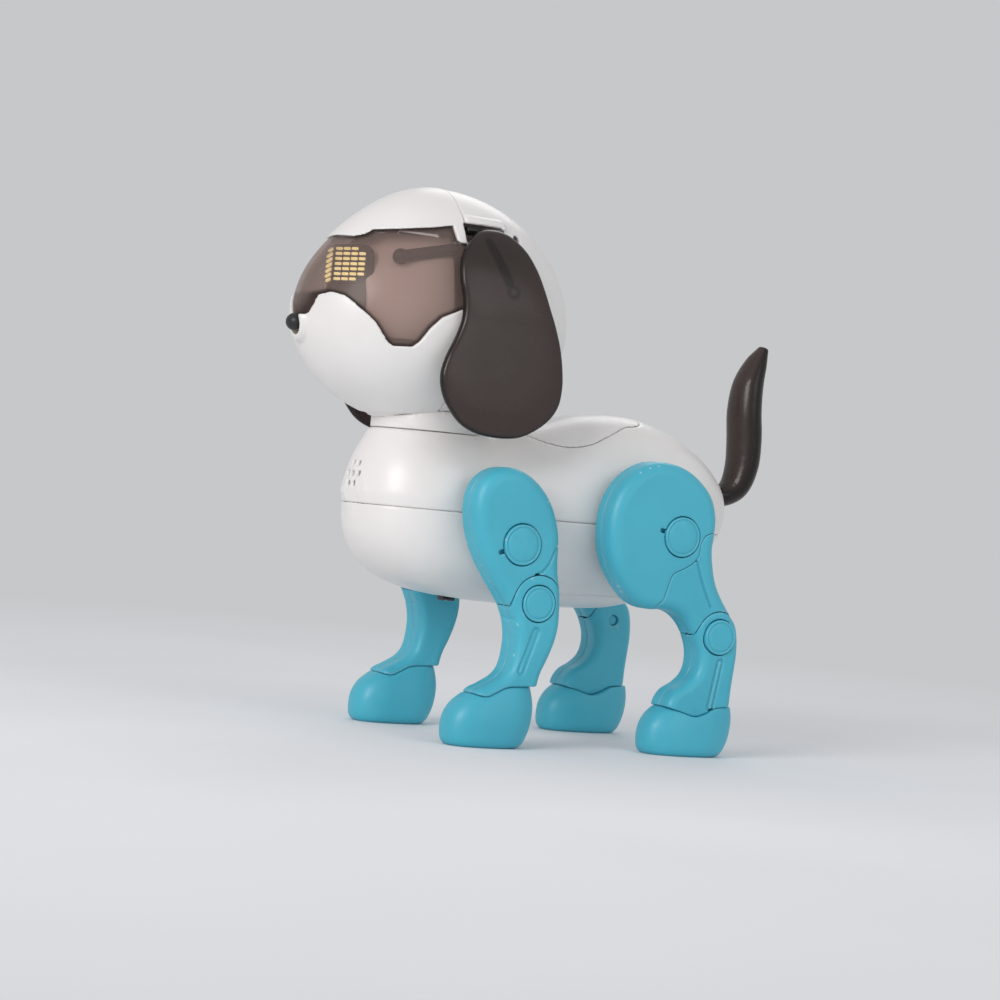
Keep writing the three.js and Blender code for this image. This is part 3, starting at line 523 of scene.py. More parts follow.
def banded(name, colour, band_colour, axis, low, high, roughness=0.4):
    """A jacket of one colour with a band between two places along an axis."""
    n = Nodes(name)
    place = n.add("SeparateXYZ", Vector=n.place).outputs[axis]
    band = n.math("MULTIPLY", n.math("GREATER_THAN", place, low * MM), n.math("LESS_THAN", place, high * MM))
    fine = n.noise(700.0, 3.0)
    rough = n.vary(fine, roughness - 0.08, roughness + 0.08)
    shade = n.mix(band, linear(colour), linear(band_colour))
    return n.done(n.principled(shade, rough, n.bump(fine, 0.08, 0.0001)))


def circuit(name):
    """Green solder mask with lighter tracks."""
    n = Nodes(name)
    tracks = n.add("TexBrick", Vector=n.place, Scale=260.0, Color1=linear("14512f"),
                   Color2=linear("18603a"), Mortar=linear("3d8f5c"), Mortar_Size=0.06)
    return n.done(n.principled(tracks.outputs["Color"], 0.4, n.bump(tracks.outputs["Fac"], 0.3, 0.0001)))


def lamp(name):
    """Cream lamp body with a glow, in slightly uneven shades."""
    n = Nodes(name)
    shade = n.mix(n.vary(n.noise(400.0), 0.0, 0.6), linear("efe08c"), linear("fff8cf"))
    rough = n.vary(n.noise(900.0), 0.25, 0.45)
    shader = n.add("BsdfPrincipled", Base_Color=shade, Roughness=rough, Emission_Color=shade,
                   Emission_Strength=1.2)
    return n.done(shader)


TEAL = moulded("teal_plastic", "48b4ca", "3398b0", 0.4)
WHITE = moulded("white_plastic", "ebe8e6", "d8d3d0", 0.36, coat=0.15)
INNER_WHITE = moulded("inner_white_plastic", "efe6e0", "dccfc8", 0.5)
BLACK = moulded("black_plastic", "232325", "131315", 0.42)
VISOR_TINT = tinted("visor_tint", "f5eeec", "a8968f", 0.2, "75655f")
EAR_TINT = tinted("ear_tint", "7d6c65", "493d39", 0.66, "241d1b")
STEEL = metal("steel", "c4c6c8", 0.28)
BRASS = metal("brass", "cfa64f", 0.3)
NYLON = moulded("natural_nylon", "ece7d6", "d9d2bd", 0.45, glow=0.1)
JACKET = banded("cell_jacket", "2c3038", "b9863d", 1, 24.0, 40.0)
GREEN = circuit("circuit_green")
LAMP = lamp("lamp_cream")

# ---- head

# lower edge of the cap and of the visor in the side view: y, z
BROW = ((-100, 172), (-86, 171), (-84.1, 169.4), (-83.1, 168.2), (-80, 167.3), (-77.2, 168.3), (-75.2, 170),
        (-68, 170.9), (-58, 172.4), (-50.6, 174), (-50, 169), (-49, 168.2), (-20, 168.2))
VISOR = ((-100, 139.2), (-92.7, 139.6), (-91.2, 146.4), (-88.6, 147.6), (-85.4, 146.6), (-82.3, 143.8),
         (-76.6, 138.4), (-72.4, 132.7), (-70.4, 131.2), (-64.2, 131.6), (-62.2, 133.6), (-59.6, 138.2),
         (-56, 142.2), (-49.2, 145.6), (-20, 148))


def head_skin(x, y, z, inset=0.0):
    """Distance to the head's egg, drawn in by an inset."""
    dy, dz = y - HEAD_C[1], z - HEAD_C[2]
    rx = HEAD_R[0] - inset
    ry = np.where(dy > 0, HEAD_BACK, HEAD_R[1]) - inset
    rz = np.where(dz < 0, HEAD_DROP, HEAD_R[2]) - inset
    k0 = np.sqrt((x / rx) ** 2 + (dy / ry) ** 2 + (dz / rz) ** 2)
    front_top = np.maximum(-dy / ry, 0) * np.maximum(dz / rz, 0) / np.maximum(k0 * k0, 0.01)
    k0 = k0 / (1 - CROWN_FLAT * 4 * front_top ** 2)
    k1 = np.sqrt((x / rx ** 2) ** 2 + (dy / ry ** 2) ** 2 + (dz / rz ** 2) ** 2)
    return k0 * (k0 - 1) / np.maximum(k1, 1e-6)


def side_region(line, above):
    """The outline of everything above or below a line in the side view."""
    far = 230.0 if above else 60.0
    return Outline(list(line) + [(line[-1][0], far), (line[0][0], far)], cell=0.3, margin=4.0)


above_brow = side_region(BROW, True)
below_brow = side_region(BROW, False)
above_visor = side_region(VISOR, True)
below_visor = side_region(VISOR, False)
EAR_SLOT = ((19.0, 31.0), (-46.8, -31.0), (168.6, 175.4))


def ear_slot(x, y, z, grow=0.0):
    xs, ys, zs = ((low - grow, high + grow) for low, high in EAR_SLOT)
    return block(np.abs(x), y, z, xs, ys, zs, 1.2, 0.6)


def neck_hole(x, y, z):
    return np.maximum(disc(x, y, (0, NECK_Y), SPIGOT_R + 0.3), z - HEAD_C[2])


def head_shell(x, y, z, proud=0.0):
    skin = head_skin(x, y, z) - proud
    return both(skin, -(skin + WALL), 0.3), skin


def slot_rim(x, y, z, skin):
    """The raised bracket over the ear's hinge slot."""
    (x0, x1), (y0, y1), (_, top) = EAR_SLOT
    bar = block(np.abs(x), y, z, (x0 - 2.5, x1 + 2.0), (y0 + 0.6, y1 + 1.6), (top - 0.4, top + 3.0), 0.8, 0.8)
    return both(both(bar, skin - 1.3, 0.5), -(skin + 1.0), 0)


def head_rear(x, y, z):
    shell, skin = head_shell(x, y, z)
    shell = either(shell, slot_rim(x, y, z, skin), 0.3)
    shell = cut(shell, ear_slot(x, y, z), 0.3)
    shell = cut(shell, neck_hole(x, y, z), 0.4)
    shell = groove(shell, np.abs(x), 0.9, 0.45, 0.3)
    hole = disc(y, z, REAR_HOLE, REAR_HOLE_R)
    shell = cut(shell, np.maximum(hole, 8 - np.abs(x)), 0.3)
    return both(shell, HEAD_SEAM_Y + SEAM / 2 - y, CREASE)


def head_cap(x, y, z):
    shell, _ = head_shell(x, y, z, PROUD)
    shell = cut(shell, ear_slot(x, y, z), 0.3)
    shell = both(shell, above_brow(y, z) + 0.05, CREASE)
    return both(shell, y - (HEAD_SEAM_Y - SEAM / 2), CREASE)


def muzzle_y(x, y, z):
    """y, but on the muzzle's front the y of the skin straight ahead, so the visor's edge is cut square."""
    dz = (z - HEAD_C[2]) / np.where(z < HEAD_C[2], HEAD_DROP, HEAD_R[2])
    ahead = HEAD_C[1] - HEAD_R[1] * np.sqrt(np.clip(1 - (x / HEAD_R[0]) ** 2 - dz ** 2, 0, 1))
    flank = np.clip((ahead + 91) / 5, 0, 1)
    return flank * y + (1 - flank) * ahead


def face_shell(x, y, z):
    shell, skin = head_shell(x, y, z, PROUD)
    around = disc(x, z, (0, NOSE_Z), 0)
    ring = both(both(np.maximum(around - NOSE_RING_R, y + 84), skin - 1.5, 1.0), -(skin + 1.0), 0)
    shell = either(shell, ring, 1.4)
    shell = cut(shell, np.maximum(around - NOSE_HOLE_R, y + 88), 0.5)
    shell = cut(shell, neck_hole(x, y, z), 0.3)
    shell = both(shell, below_visor(muzzle_y(x, y, z), z) + 0.06, CREASE / 2)
    shell = groove(shell, np.abs(chin(y, z)), 0.7, 0.35, 0.2)
    return both(shell, y - (HEAD_SEAM_Y - SEAM / 2), CREASE)


def chin(y, z):
    """Signed distance to the line under the chin where the jaw meets the throat."""
    return z - 109.2 - 0.03 * (y + 60)


def visor(x, y, z):
    skin = head_skin(x, y, z, VISOR_INSET)
    shell = both(skin, -(skin + VISOR_WALL), 0.3)
    shell = both(shell, above_visor(muzzle_y(x, y, z), z) + 0.1, 0.15)
    shell = both(shell, below_brow(y, z) + 0.2, 0.3)
    shell = cut(shell, ear_slot(x, y, z, 0.3), 0.3)
    return both(shell, y - (HEAD_SEAM_Y - SEAM / 2), 0.3)


def visor_rim(x, y, z):
    edge = np.minimum(np.abs(above_visor(y, z)), np.abs(below_brow(y, z)))
    edge = np.minimum(edge, np.abs(y - HEAD_SEAM_Y))
    return np.clip(1.25 - edge / 1.1, 0, 1)


def nose(x, y, z):
    wide, deep, high = NOSE_HALF
    reach = np.sqrt((x / wide) ** 2 + ((y - NOSE_Y) / deep) ** 2 + ((z - NOSE_Z) / high) ** 2)
    stalk = rod(x, z, y, (0, NOSE_Z), NOSE_STALK_R, NOSE_STALK_Y, 0)
    return either(both((reach - 1) * high, y - NOSE_BACK, 0.3), stalk, 0.4)


# the inner skin behind the visor, the board of the eye lamps and the arms that carry the ears
LINER_INSET, LINER_WALL, LINER_Y, LINER_Z = 7.0, 1.4, (-79.5, -48.5), (134.0, 170.0)
EYE_ROOM = (19.0, -76.5)  # half width and y of the room for the boards
BOARD_Y, BOARD_SLANT, BOARD_X, BOARD_Z = -82.0, 0.34, 17.5, (151.5, 164.9)
BOARD_INSET, BOARD_THICK = 2.6, 1.5  # behind the head's skin, through the board
ARM_FROM, ARM_TO, ARM_R = (22.0, -67.4, 161.6), (24.6, -48.6, 166.2), 2.2
LAMP_ROWS, LAMP_LOW, LAMP_PITCH = 7, 153.0, 1.72
LAMP_X = (3.0, 6.6, 10.2, 13.8)
LAMP_SIZE = (1.15, 0.48, 0.8)  # half width, half height, depth


def inner_skin(x, y, z):
    layer = head_skin(x, y, z, LINER_INSET)
    shell = both(layer, -(layer + LINER_WALL), 0.3)
    shell = both(both(shell, slab(y, *LINER_Y), 0.4), slab(z, *LINER_Z), 0.4)
    return cut(shell, np.maximum(np.abs(x) - EYE_ROOM[0], y - EYE_ROOM[1]), 0.6)


def board_layer(x, y):
    """Distance behind the front face of the two boards, which slant back towards the flanks."""
    return (y - BOARD_Y - BOARD_SLANT * np.abs(x)) / math.hypot(1, BOARD_SLANT)


def eye_board(x, y, z):
    outline = both(np.abs(x) - BOARD_X, slab(z, *BOARD_Z), 5.0)
    plate = both(outline, head_skin(x, y, z, BOARD_INSET), 0.3)
    return both(plate, slab(board_layer(x, y), 0, BOARD_THICK), 0.2)


def ear_arms(x, y, z):
    arm = capsule3(np.abs(x), y, z, ARM_FROM, ARM_TO, ARM_R - 0.1)
    eye = capsule3(np.abs(x), y, z, ARM_FROM, ARM_FROM[:2] + (ARM_FROM[2] + 0.1,), ARM_R + 0.5)
    return either(arm, eye, 0.5)


def eye_lamps(sign, x, y, z):
    """The lamps of one eye: rows of small cream blocks in front of the board."""
    half_x, half_z, depth = LAMP_SIZE
    best = None
    for row, lx in product(range(LAMP_ROWS), LAMP_X):
        if row in (0, LAMP_ROWS - 1) and lx == LAMP_X[-1]:
            continue
        face = plan(x, z, span(sign * lx, half_x), span(LAMP_LOW + LAMP_PITCH * row, half_z), 0.3)
        one = both(face, slab(board_layer(x, y), -depth, 0.2), 0.25)
        best = one if best is None else np.minimum(best, one)
    return best


def build_head():
    # name, field, low and high corner of its room, cell, share of faces kept, material
    for node, *how in (
        ("head_rear", head_rear, (-38, -47.5, 104), (38, 9.5, 191), 0.62, 0.6, WHITE),
        ("head_cap", head_cap, (-38, -88, 164), (38, -44, 191), 0.5, 0.6, WHITE),
        ("face_shell", face_shell, (-39, -96.5, 103), (39, -44, 150), 0.55, 0.6, WHITE),
        ("nose", nose, (-6, -98.5, 131), (6, -87, 143), 0.25, 0.7, BLACK),
        ("led_board", inner_skin, (-32, -81, 133), (32, -47, 171), 0.6, 0.6, INNER_WHITE),
        ("visor", visor, (-38, -95, 128), (38, -44, 177), 0.5, 0.6, VISOR_TINT, {"rim": visor_rim}),
    ):
        add_piece(f"{node}_smooth", node, "head", *how)
    add_piece("eye_board", None, "head", eye_board, (-20, -83, 150), (20, -73, 167), 0.4, 0.4, BLACK)
    add_piece("ear_arms", None, "head", ear_arms, (-28, -71, 157), (28, -45, 170), 0.45, 0.6, BLACK)
    for side, sign in (("left", 1), ("right", -1)):
        near, far = sorted((sign * 1.0, sign * 16.0))
        low, high = (near, BOARD_Y - 1.5, 151.8), (far, BOARD_Y + 6.5, 164.6)
        add_piece(f"eye_lamps_{side}", None, "head", partial(eye_lamps, sign), low, high, 0.22, 0.5, LAMP)


# ---- ears

# height, front and back edge of an ear in the side view
EAR = (
    (173.4, -41.5, -32.8), (168.4, -47.6, -26.4), (162, -51.3, -22.6), (156, -51.9, -20.2),
    (149, -50.7, -17.6), (142.8, -50.6, -15), (136.2, -52.6, -12.8), (129, -55.8, -11.4),
    (122.9, -57.2, -11), (116.7, -56, -12), (111.9, -53.1, -15), (107.2, -48.3, -20.8), (104.4, -40.7, -27.5),
)
EAR_RING = (-33.2, 153.2)  # y, z of the ring on an ear's inner face
EAR_LINK = ((-40.7, 169.0), (-35.0, 156.2))
ear_outline = Outline(smooth([(f, z) for z, f, _ in EAR] + [(b, z) for z, _, b in reversed(EAR)], True))


def ear_reach(z):
    """Distance of an ear's middle from the centre plane, and its slope."""
    rise = np.clip((z - HEAD_C[2]) / HEAD_R[2], 0, 0.93)
    arc = np.sqrt(1 - rise * rise)
    reach = HEAD_R[0] * arc + 3.6 + 1.2 * np.clip((HEAD_C[2] - z) / 30, 0, 1)
    slope = HEAD_R[0] / HEAD_R[2] * rise / arc
    return reach, slope


def ear_layer(x, y, z):
    """Distance outward from the ear's crowned middle face."""
    reach, slope = ear_reach(z)
    edge = ear_outline(y, z)
    crown = 1.3 * (1 - np.exp(np.minimum(edge, 0) / 5.0)) - 0.8
    return (x - reach - crown) / np.sqrt(1 + slope * slope), edge


def ear(x, y, z):
    layer, edge = ear_layer(x, y, z)
    plate = both(edge, np.abs(layer) - EAR_THICK / 2, 1.3)
    hx, hz = EAR_HINGE
    pin = rod(x, z, y, (hx, hz), 1.6, (-45.6, -31.4), 0.3)
    arm = block(x, y, z, (hx - 0.8, 28.4), (-41.4, -34.6), (hz - 2.2, hz + 0.4), 0.3, 0.5)
    return either(either(plate, arm, 0.8), pin, 0.3)


def ear_rim_and_top_shade(x, y, z):
    """The darker edge of an ear, its shaded top and the link and ring that show through."""
    edge = np.clip(1.1 + ear_outline(y, z) / 1.1, 0, 1)
    ring = np.abs(disc(y, z, EAR_RING, 1.8)) - 0.7
    link = np.minimum(capsule(y, z, *EAR_LINK, 2.0), ring)
    # painted shade: the mark rises over an ear's top, above z 150, to darken it
    top = 0.4 * np.clip((z - 150) / 16, 0, 1)
    return np.maximum(np.maximum(edge, top), 0.85 * np.clip(0.5 - link / 1.2, 0, 1))


def ear_rib(x, y, z):
    """The dark hinge link and its ring, on the inner face of an ear."""
    layer, _ = ear_layer(x, y, z)
    link = capsule(y, z, *EAR_LINK, 1.5)
    ring = np.abs(disc(y, z, EAR_RING, 1.7)) - 0.7
    stem = capsule(y, z, EAR_LINK[1], (EAR_RING[0] - 0.8, EAR_RING[1] + 1.6), 0.8)
    flat = np.minimum(np.minimum(link, ring), stem)
    return both(flat, slab(layer, -1.9, -0.1), 0.3)


def build_ears():
    shell = field_mesh("ear", ear, (22, -61, 102), (46, -9, 177), 0.6, 1.0, {"rim": ear_rim_and_top_shade})
    rib = field_mesh("ear_rib", ear_rib, (24, -42, 149), (44, -29, 173), 0.35, 0.6)
    for side, made in (("left", (shell, rib)), ("right", (mirrored(shell), mirrored(rib)))):
        new_object(f"ear_{side}_shell", made[0], EAR_TINT, f"ear_{side}", f"ear_{side}")
        new_object(f"ear_{side}_link", made[1], BLACK, f"ear_{side}")


# ---- torso

def station_curve(values):
    """One measure of the torso along y, as a smooth curve."""
    flat = 0.001  # keeps the curve's own spacing even along y
    line = smooth([(row[0], value * flat) for row, value in zip(BODY, values)], False)
    return line[:, 0], line[:, 1] / flat


FIRST, LAST = BODY[0][0] - 0.7, BODY[-1][0] + 0.7
half_curve = station_curve([row[3] ** 2 for row in BODY])
high_curve = station_curve([((row[1] - row[2]) / 2) ** 2 for row in BODY])
middle_curve = station_curve([(row[1] + row[2]) / 2 for row in BODY])


def along(curve, y):
    return np.interp(y, curve[0], curve[1])


def torso_raw(x, y, z):
    fade = np.clip(np.minimum(y - FIRST, LAST - y) / 0.7, 0.02, 1)
    half = np.sqrt(np.maximum(along(half_curve, y) * fade, 0.1))
    high = np.sqrt(np.maximum(along(high_curve, y) * fade, 0.1))
    u = np.abs(x) / half
    v = np.abs(z - along(middle_curve, y)) / high
    return (u ** BODY_POWER + v ** BODY_POWER) ** (1 / BODY_POWER) - 1


def torso_skin(x, y, z):
    body = even(torso_raw, x, y, z)
    body = both(body, slab(y, FIRST, LAST), 0.5)
    radius = 23 - 3.5 * (z - 86) / 18.5
    neck = both((np.sqrt(x * x + (y - NECK_Y) ** 2) - radius) * 0.98, slab(z, 82, NECK_TOP), 1.2)
    skin = either(body, neck, 6.0)
    return cut(skin, both(disc(x, y, (0, NECK_Y), COLLAR_R + 0.3), NECK_TOP - z, 0), 0.5)


def torso_shell(x, y, z):
    skin = torso_skin(x, y, z)
    shell = both(skin, -(skin + WALL), 0.3)
    shell = cut(shell, np.maximum(disc(x, y, (0, NECK_Y), SPIGOT_R + 1), 90 - z), 0.4)
    shell = cut(shell, block(x, y, z, *TAIL_SLOT, 1.5, 1.5), 0.4)
    for hip in HIP.values():
        shell = cut(shell, disc(y, z, hip, AXLE_R + AXLE_GAP), 0.3)
    return shell


# lower edge of the back cover in the side view: y, z
WAVE = ((-17, 130), (-17, 108.6), (-10.5, 107.2), (-4, 104.8), (4.6, 103.7), (13, 105.4), (21, 109),
        (29, 112.6), (38, 115), (46, 130))
saddle_region = Outline(smooth(WAVE, False), cell=0.3)
SPEAKER_Z, SPEAKER_RING, SPEAKER_HOLE_R = 88, 4.0, 1.0
SPEAKER_HOLES = [(0, SPEAKER_Z)] + [(SPEAKER_RING * math.cos(a), SPEAKER_Z + SPEAKER_RING * math.sin(a))
                                    for a in np.radians(np.arange(0, 360, 60))]


def body_upper(x, y, z):
    shell = torso_shell(x, y, z)
    for hole in SPEAKER_HOLES:
        shell = cut(shell, np.maximum(disc(x, z, hole, SPEAKER_HOLE_R), y + 45), 0.3)
    shell = both(shell, SEAM / 2 - saddle_region(y, z), CREASE)
    return both(shell, BODY_SEAM_Z + 0.04 - z, 0.15)


def saddle(x, y, z):
    return both(torso_shell(x, y, z), saddle_region(y, z) + SEAM / 2, CREASE)


def door_region(x, y, z, grow=0.0):
    ys = (DOOR_Y[0] - grow, DOOR_Y[1] + grow)
    return np.maximum(plan(x, y, span(0, DOOR_X + grow), ys, 2.0), z - DOOR_Z)


def body_lower(x, y, z):
    shell = torso_shell(x, y, z)
    shell = cut(shell, door_region(x, y, z, SEAM), 0.3)
    shell = cut(shell, np.maximum(plan(x, y, span(0, 3.5), span(SWITCH_Y, 5), 1.0), z - 60), 0.3)
    frame_line = np.abs(plan(x, y, span(0, 6.5), span(SWITCH_Y, 8), 2.0))
    shell = groove(shell, frame_line, 0.8, 0.4, 0.2)
    shell = groove(shell, np.maximum(np.abs(z - 52.8), 19 - np.abs(x)), 0.5, 0.25, 0.15)
    return both(shell, z - (BODY_SEAM_Z - 0.04), 0.15)


def battery_door(x, y, z):
    shell = both(torso_shell(x, y, z), door_region(x, y, z, 0), 0.4)
    shell = cut(shell, disc(x, y, (0, SCREW_Y), 2.9), 0.4)
    for k in range(4):
        line = np.maximum(np.abs(y - (DOOR_RIB_Y + DOOR_RIB_PITCH * k)), np.abs(x) - DOOR_RIB_X)
        shell = groove(shell, line, 1.0, 0.5, 0.25)
    return shell


def door_screw(x, y, z):
    head = rod(x, y, z, (0, SCREW_Y), 2.5, (SCREW_Z - 2.2, SCREW_Z), 0.4)
    shank = rod(x, y, z, (0, SCREW_Y), 1.2, (SCREW_Z - 0.5, SCREW_Z + 4), 0.2)
    cross = np.minimum(plan(x, y, span(0, 1.7), span(SCREW_Y, 0.38), 0),
                       plan(x, y, span(0, 0.38), span(SCREW_Y, 1.7), 0))
    return cut(either(head, shank, 0.1), np.maximum(cross, z - (SCREW_Z - 1.2)), 0.1)


def switch_knob(x, y, z):
    knob = block(x, y, z, span(0, 2.4), span(SWITCH_Y, 2.4), (SWITCH_Z, SWITCH_Z + 5.4), 0.5, 0.5)
    for k in (-1, 0, 1):
        knob = cut(knob, np.maximum(np.abs(y - SWITCH_Y - 1.3 * k) - 0.3, z - SWITCH_Z - 0.5), 0.1)
    flange = block(x, y, z, span(0, 5.6), span(SWITCH_Y, 6.6), (SWITCH_Z + 5.3, SWITCH_Z + 6.3), 0.6, 0.2)
    return either(knob, flange, 0.2)


def neck_collar(x, y, z):
    r = np.sqrt(x * x + (y - NECK_Y) ** 2)
    tube = both(r - SPIGOT_R, slab(z, 96, 112.6), 0.4)
    for radius, z0, z1 in ((12, 96, 97.5), (10.5, 111.4, 112.6)):
        tube = either(tube, both(r - radius, slab(z, z0, z1), 0.4), 0.4)
    ring = both(r - COLLAR_R, slab(z, NECK_TOP + 0.15, COLLAR_TOP), 0.4)
    ring = both(ring, -head_skin(x, y, z) + 0.1, 0.1)
    return cut(either(tube, ring, 0.3), r - (SPIGOT_R - 2), 0.3)


def build_torso():
    for node, *how in (
        ("body_upper", "torso", body_upper, (-30, -69, 76), (30, 83, 120), 0.6, 0.55, WHITE),
        ("saddle_cover", "torso", saddle, (-30, -18, 102), (30, 50, 120), 0.55, 0.6, WHITE),
        ("body_lower", "torso", body_lower, (-30, -69, 45), (30, 83, 80), 0.6, 0.55, WHITE),
        ("battery_door", "battery_door", battery_door, (-20, -11, 45), (20, 47, 62), 0.45, 0.5, WHITE),
        ("door_screw", "battery_door", door_screw, (-3, 37, 51), (3, 45, 60), 0.2, 0.6, STEEL),
        ("switch_knob", "switch", switch_knob, (-7, -35, 45.5), (7, -19, 54), 0.25, 0.5, BLACK),
        ("neck_collar", "head", neck_collar, (-20, -61, 95), (20, -21, 114), 0.4, 0.5, WHITE),
    ):
        add_piece(f"{node}_smooth", node, *how)


# ---- tail

# y, z, half width, half depth along the tail's middle line
TAIL = (
    (77, 92, 3.6, 3.2), (83, 92.4, 5, 4), (88, 96, 6.6, 5), (90.6, 104, 7.6, 5.6), (90.6, 114, 7.9, 5.9),
    (89.6, 124, 7.8, 5.8), (90.2, 134, 6.9, 5.2), (92.8, 142, 5, 3.8), (95.3, 147.4, 2.6, 1.9),
)


def tail_line():
    """Points along the tail's middle line, and the half width and half depth at each."""
    path = smooth([row[:2] for row in TAIL], False, 12)
    wide, deep = (smooth([(k * 10.0, row[column]) for k, row in enumerate(TAIL)], False, 12)[:, 1]
                  for column in (2, 3))
    return path, wide, deep


tail_path, tail_wide, tail_deep = tail_line()


def tail_place(y, z):
    """The nearest point of the tail's line: how far behind it (y, z) lies, and the sizes there."""
    y, z = np.broadcast_arrays(y, z)
    best = np.full(y.shape, 1e9)
    spot = np.zeros(y.shape, int)
    for k, (py, pz) in enumerate(tail_path):
        d = (y - py) ** 2 + (z - pz) ** 2
        near = d < best
        best = np.where(near, d, best)
        spot = np.where(near, k, spot)
    ahead = tail_path[np.minimum(spot + 1, len(tail_path) - 1)]
    behind = tail_path[np.maximum(spot - 1, 0)]
    way = ahead - behind
    way = way / np.maximum(np.linalg.norm(way, axis=-1, keepdims=True), 1e-6)
    py, pz = y - tail_path[spot][..., 0], z - tail_path[spot][..., 1]
    off = py * way[..., 1] - pz * way[..., 0]
    over = py * way[..., 0] + pz * way[..., 1]
    return off, over, tail_wide[spot], tail_deep[spot]


def tail(x, y, z):
    off, over, wide, deep = tail_place(y, z)
    k0 = np.sqrt((x / wide) ** 2 + (off / deep) ** 2)
    k1 = np.sqrt((x / wide ** 2) ** 2 + (off / deep ** 2) ** 2)
    leaf = k0 * (k0 - 1) / np.maximum(k1, 1e-6)
    leaf = both(leaf, np.abs(over) - 0.8, 0.8)
    lug = rod(x, y, z, (0, TAIL_PIN_Y), 4.2, (89, 95), 0.5)
    bar = block(x, y, z, (-3, 3), (TAIL_PIN_Y, 79), (89.6, 94.4), 0, 0.4)
    whole = either(either(leaf, lug, 0.5), bar, 1.0)
    return cut(whole, disc(x, y, (0, TAIL_PIN_Y), 1.5), 0.3)


def tail_rim(x, y, z):
    _, _, wide, _ = tail_place(y, z)
    return np.clip((np.abs(x) / wide - 0.8) / 0.2, 0, 1) + np.clip((84 - y) / 6, 0, 1)


def build_tail():
    add_piece("tail_leaf", "tail", "tail", tail, (-9, 64, 84), (9, 98.5, 149.5), 0.45, 0.6, EAR_TINT,
              {"rim": tail_rim})


# ---- legs

# side-view outline of each leg without its paw: y, z, from the top of the rear edge over the hip
LEG = {
    "front": (
        (-5.2, 54.5), (-6.3, 59.6), (-6.9, 65), (-7, 69.5), (-7.8, 75), (-10, 81.4), (-14, 87.4),
        (-19.6, 92), (-25.6, 94.4), (-31.4, 94.2), (-36.6, 91.6), (-39.9, 86.8), (-40.9, 79.6),
        (-39.4, 71.6), (-36, 63.8), (-30.9, 56.4), (-25.8, 50.2), (-22.4, 44.6), (-20.7, 38.4),
        (-20.8, 32), (-22, 27), (-24.4, 24), (-29, 21.2), (-33.6, 18.4), (-35, 12), (-28, 8), (-18, 8),
        (-12, 12), (-11.2, 20), (-10.1, 25.8), (-8, 30.8), (-6, 36.4), (-4.9, 42), (-4.8, 48),
    ),
    "rear": (
        (54.7, 73), (55.1, 78.6), (54.9, 84.5), (52.5, 91), (47.8, 96), (41.5, 99.8), (34, 101.5),
        (27.5, 101), (21, 97.8), (15.4, 91.8), (12.3, 84.4), (11.7, 76.4), (12.9, 68.6), (15.7, 62.4),
        (20, 56.8), (25.4, 52.2), (31, 50.4), (37.4, 50.6), (43.4, 49), (48.2, 45.2), (51.2, 40.6),
        (52.8, 36.2), (52.9, 32), (51.6, 28.4), (48.6, 25.4), (44, 22.4), (41.4, 18), (42, 11), (50, 8),
        (64, 9), (67, 17), (67.5, 24.7), (68.1, 31.7), (68.5, 37.2), (68.3, 42.4), (67.2, 47),
        (64.6, 50.7), (61, 55.3), (57.4, 61.2), (55.4, 67.9),
    ),
}
# where the calf cover begins behind the thigh cover
CALF_SEAM = ((62, 80), (54.1, 78.7), (50, 77.4), (48.3, 74.4), (47.6, 70), (45.2, 67.1), (41.4, 64.9),
             (38.1, 63.1), (36.2, 58), (35, 53.8), (33.3, 51.9), (32, 46))
# the region of the shank about the knee: drop of its front edge below the pin, rise of its rear edge above it
KNEE_EDGE = {"front": (6.3, 3.0), "rear": (0.0, 0.0)}
# upper edge of each paw: toe, dip, heel
PAW_EDGE = {
    "front": ((-60, 20), (-40, 18.8), (-35, 17.9), (-30.5, 17.2), (-27, 18.7), (-23.4, 20.5), (-17, 21.2),
              (10, 21.4)),
    "rear": ((20, 19.6), (34.5, 18.4), (38.6, 17.6), (45.2, 15.8), (52.3, 14.1), (56.5, 15.3), (61.1, 17.4),
             (90, 17.8)),
}
# the strip moulded into each lower leg
STRIP = {"front": ((-14.4, 40.1), (-18.6, 26.4)), "rear": ((60.7, 33.5), (58.2, 17.7))}
# the small key beside each hip cap
KEY = {"front": (-0.93, -0.36), "rear": (-0.98, 0.2)}
# z, toe inset, side inset, heel inset of a paw
PAW_LEVELS = ((0, 1.6, 1.7, 4.6), (2, 0.4, 0.5, 2.8), (5.5, 0, 0, 1.2), (10, 0.6, 0, 0.2), (14, 2.8, 0.6, 0),
              (17.5, 7, 1.6, 0.5), (20.5, 12, 2.6, 1.4), (PAW_TOP, 17, 3.4, 2.6))

leg_outline = {end: Outline(smooth(points, True)) for end, points in LEG.items()}
calf_region = Outline(list(smooth(CALF_SEAM, False)) + [(32, 20), (90, 20), (90, 80)])
paw_region = {end: Outline(list(smooth(line, False)) + [(line[-1][0], -10), (line[0][0], -10)], cell=0.3)
              for end, line in PAW_EDGE.items()}


def leg_plate(end, x, y, z):
    """The whole leg without its paw: a plate with rounded edges and a slightly domed outer face."""
    centre = HIP[end] if end == "rear" else KNEE[end]
    away = ((y - centre[0]) ** 2 + (z - centre[1]) ** 2) / 625.0
    face = np.maximum(x - (LEG_OUT - 0.3 * np.minimum(away, 1.5)), LEG_IN - x)
    knee = KNEE[end][1]
    edge = np.interp(z, (knee - 8, knee + 8), (SHANK_EDGE, THIGH_EDGE))
    return both(leg_outline[end](y, z), face, edge)


def knee_region(end, y, z):
    """Side view of the part of a leg that turns about the knee pin."""
    ky, kz = KNEE[end]
    drop, rise = KNEE_EDGE[end]
    beneath = z - (kz - drop)
    behind = np.maximum(ky - y, z - (kz + rise))
    return np.minimum(np.minimum(hub(end, y, z, HUB_R[end]), beneath), behind)


def thigh_solid(end, x, y, z):
    return both(leg_plate(end, x, y, z), HUB_GAP - knee_region(end, y, z), 0.35)


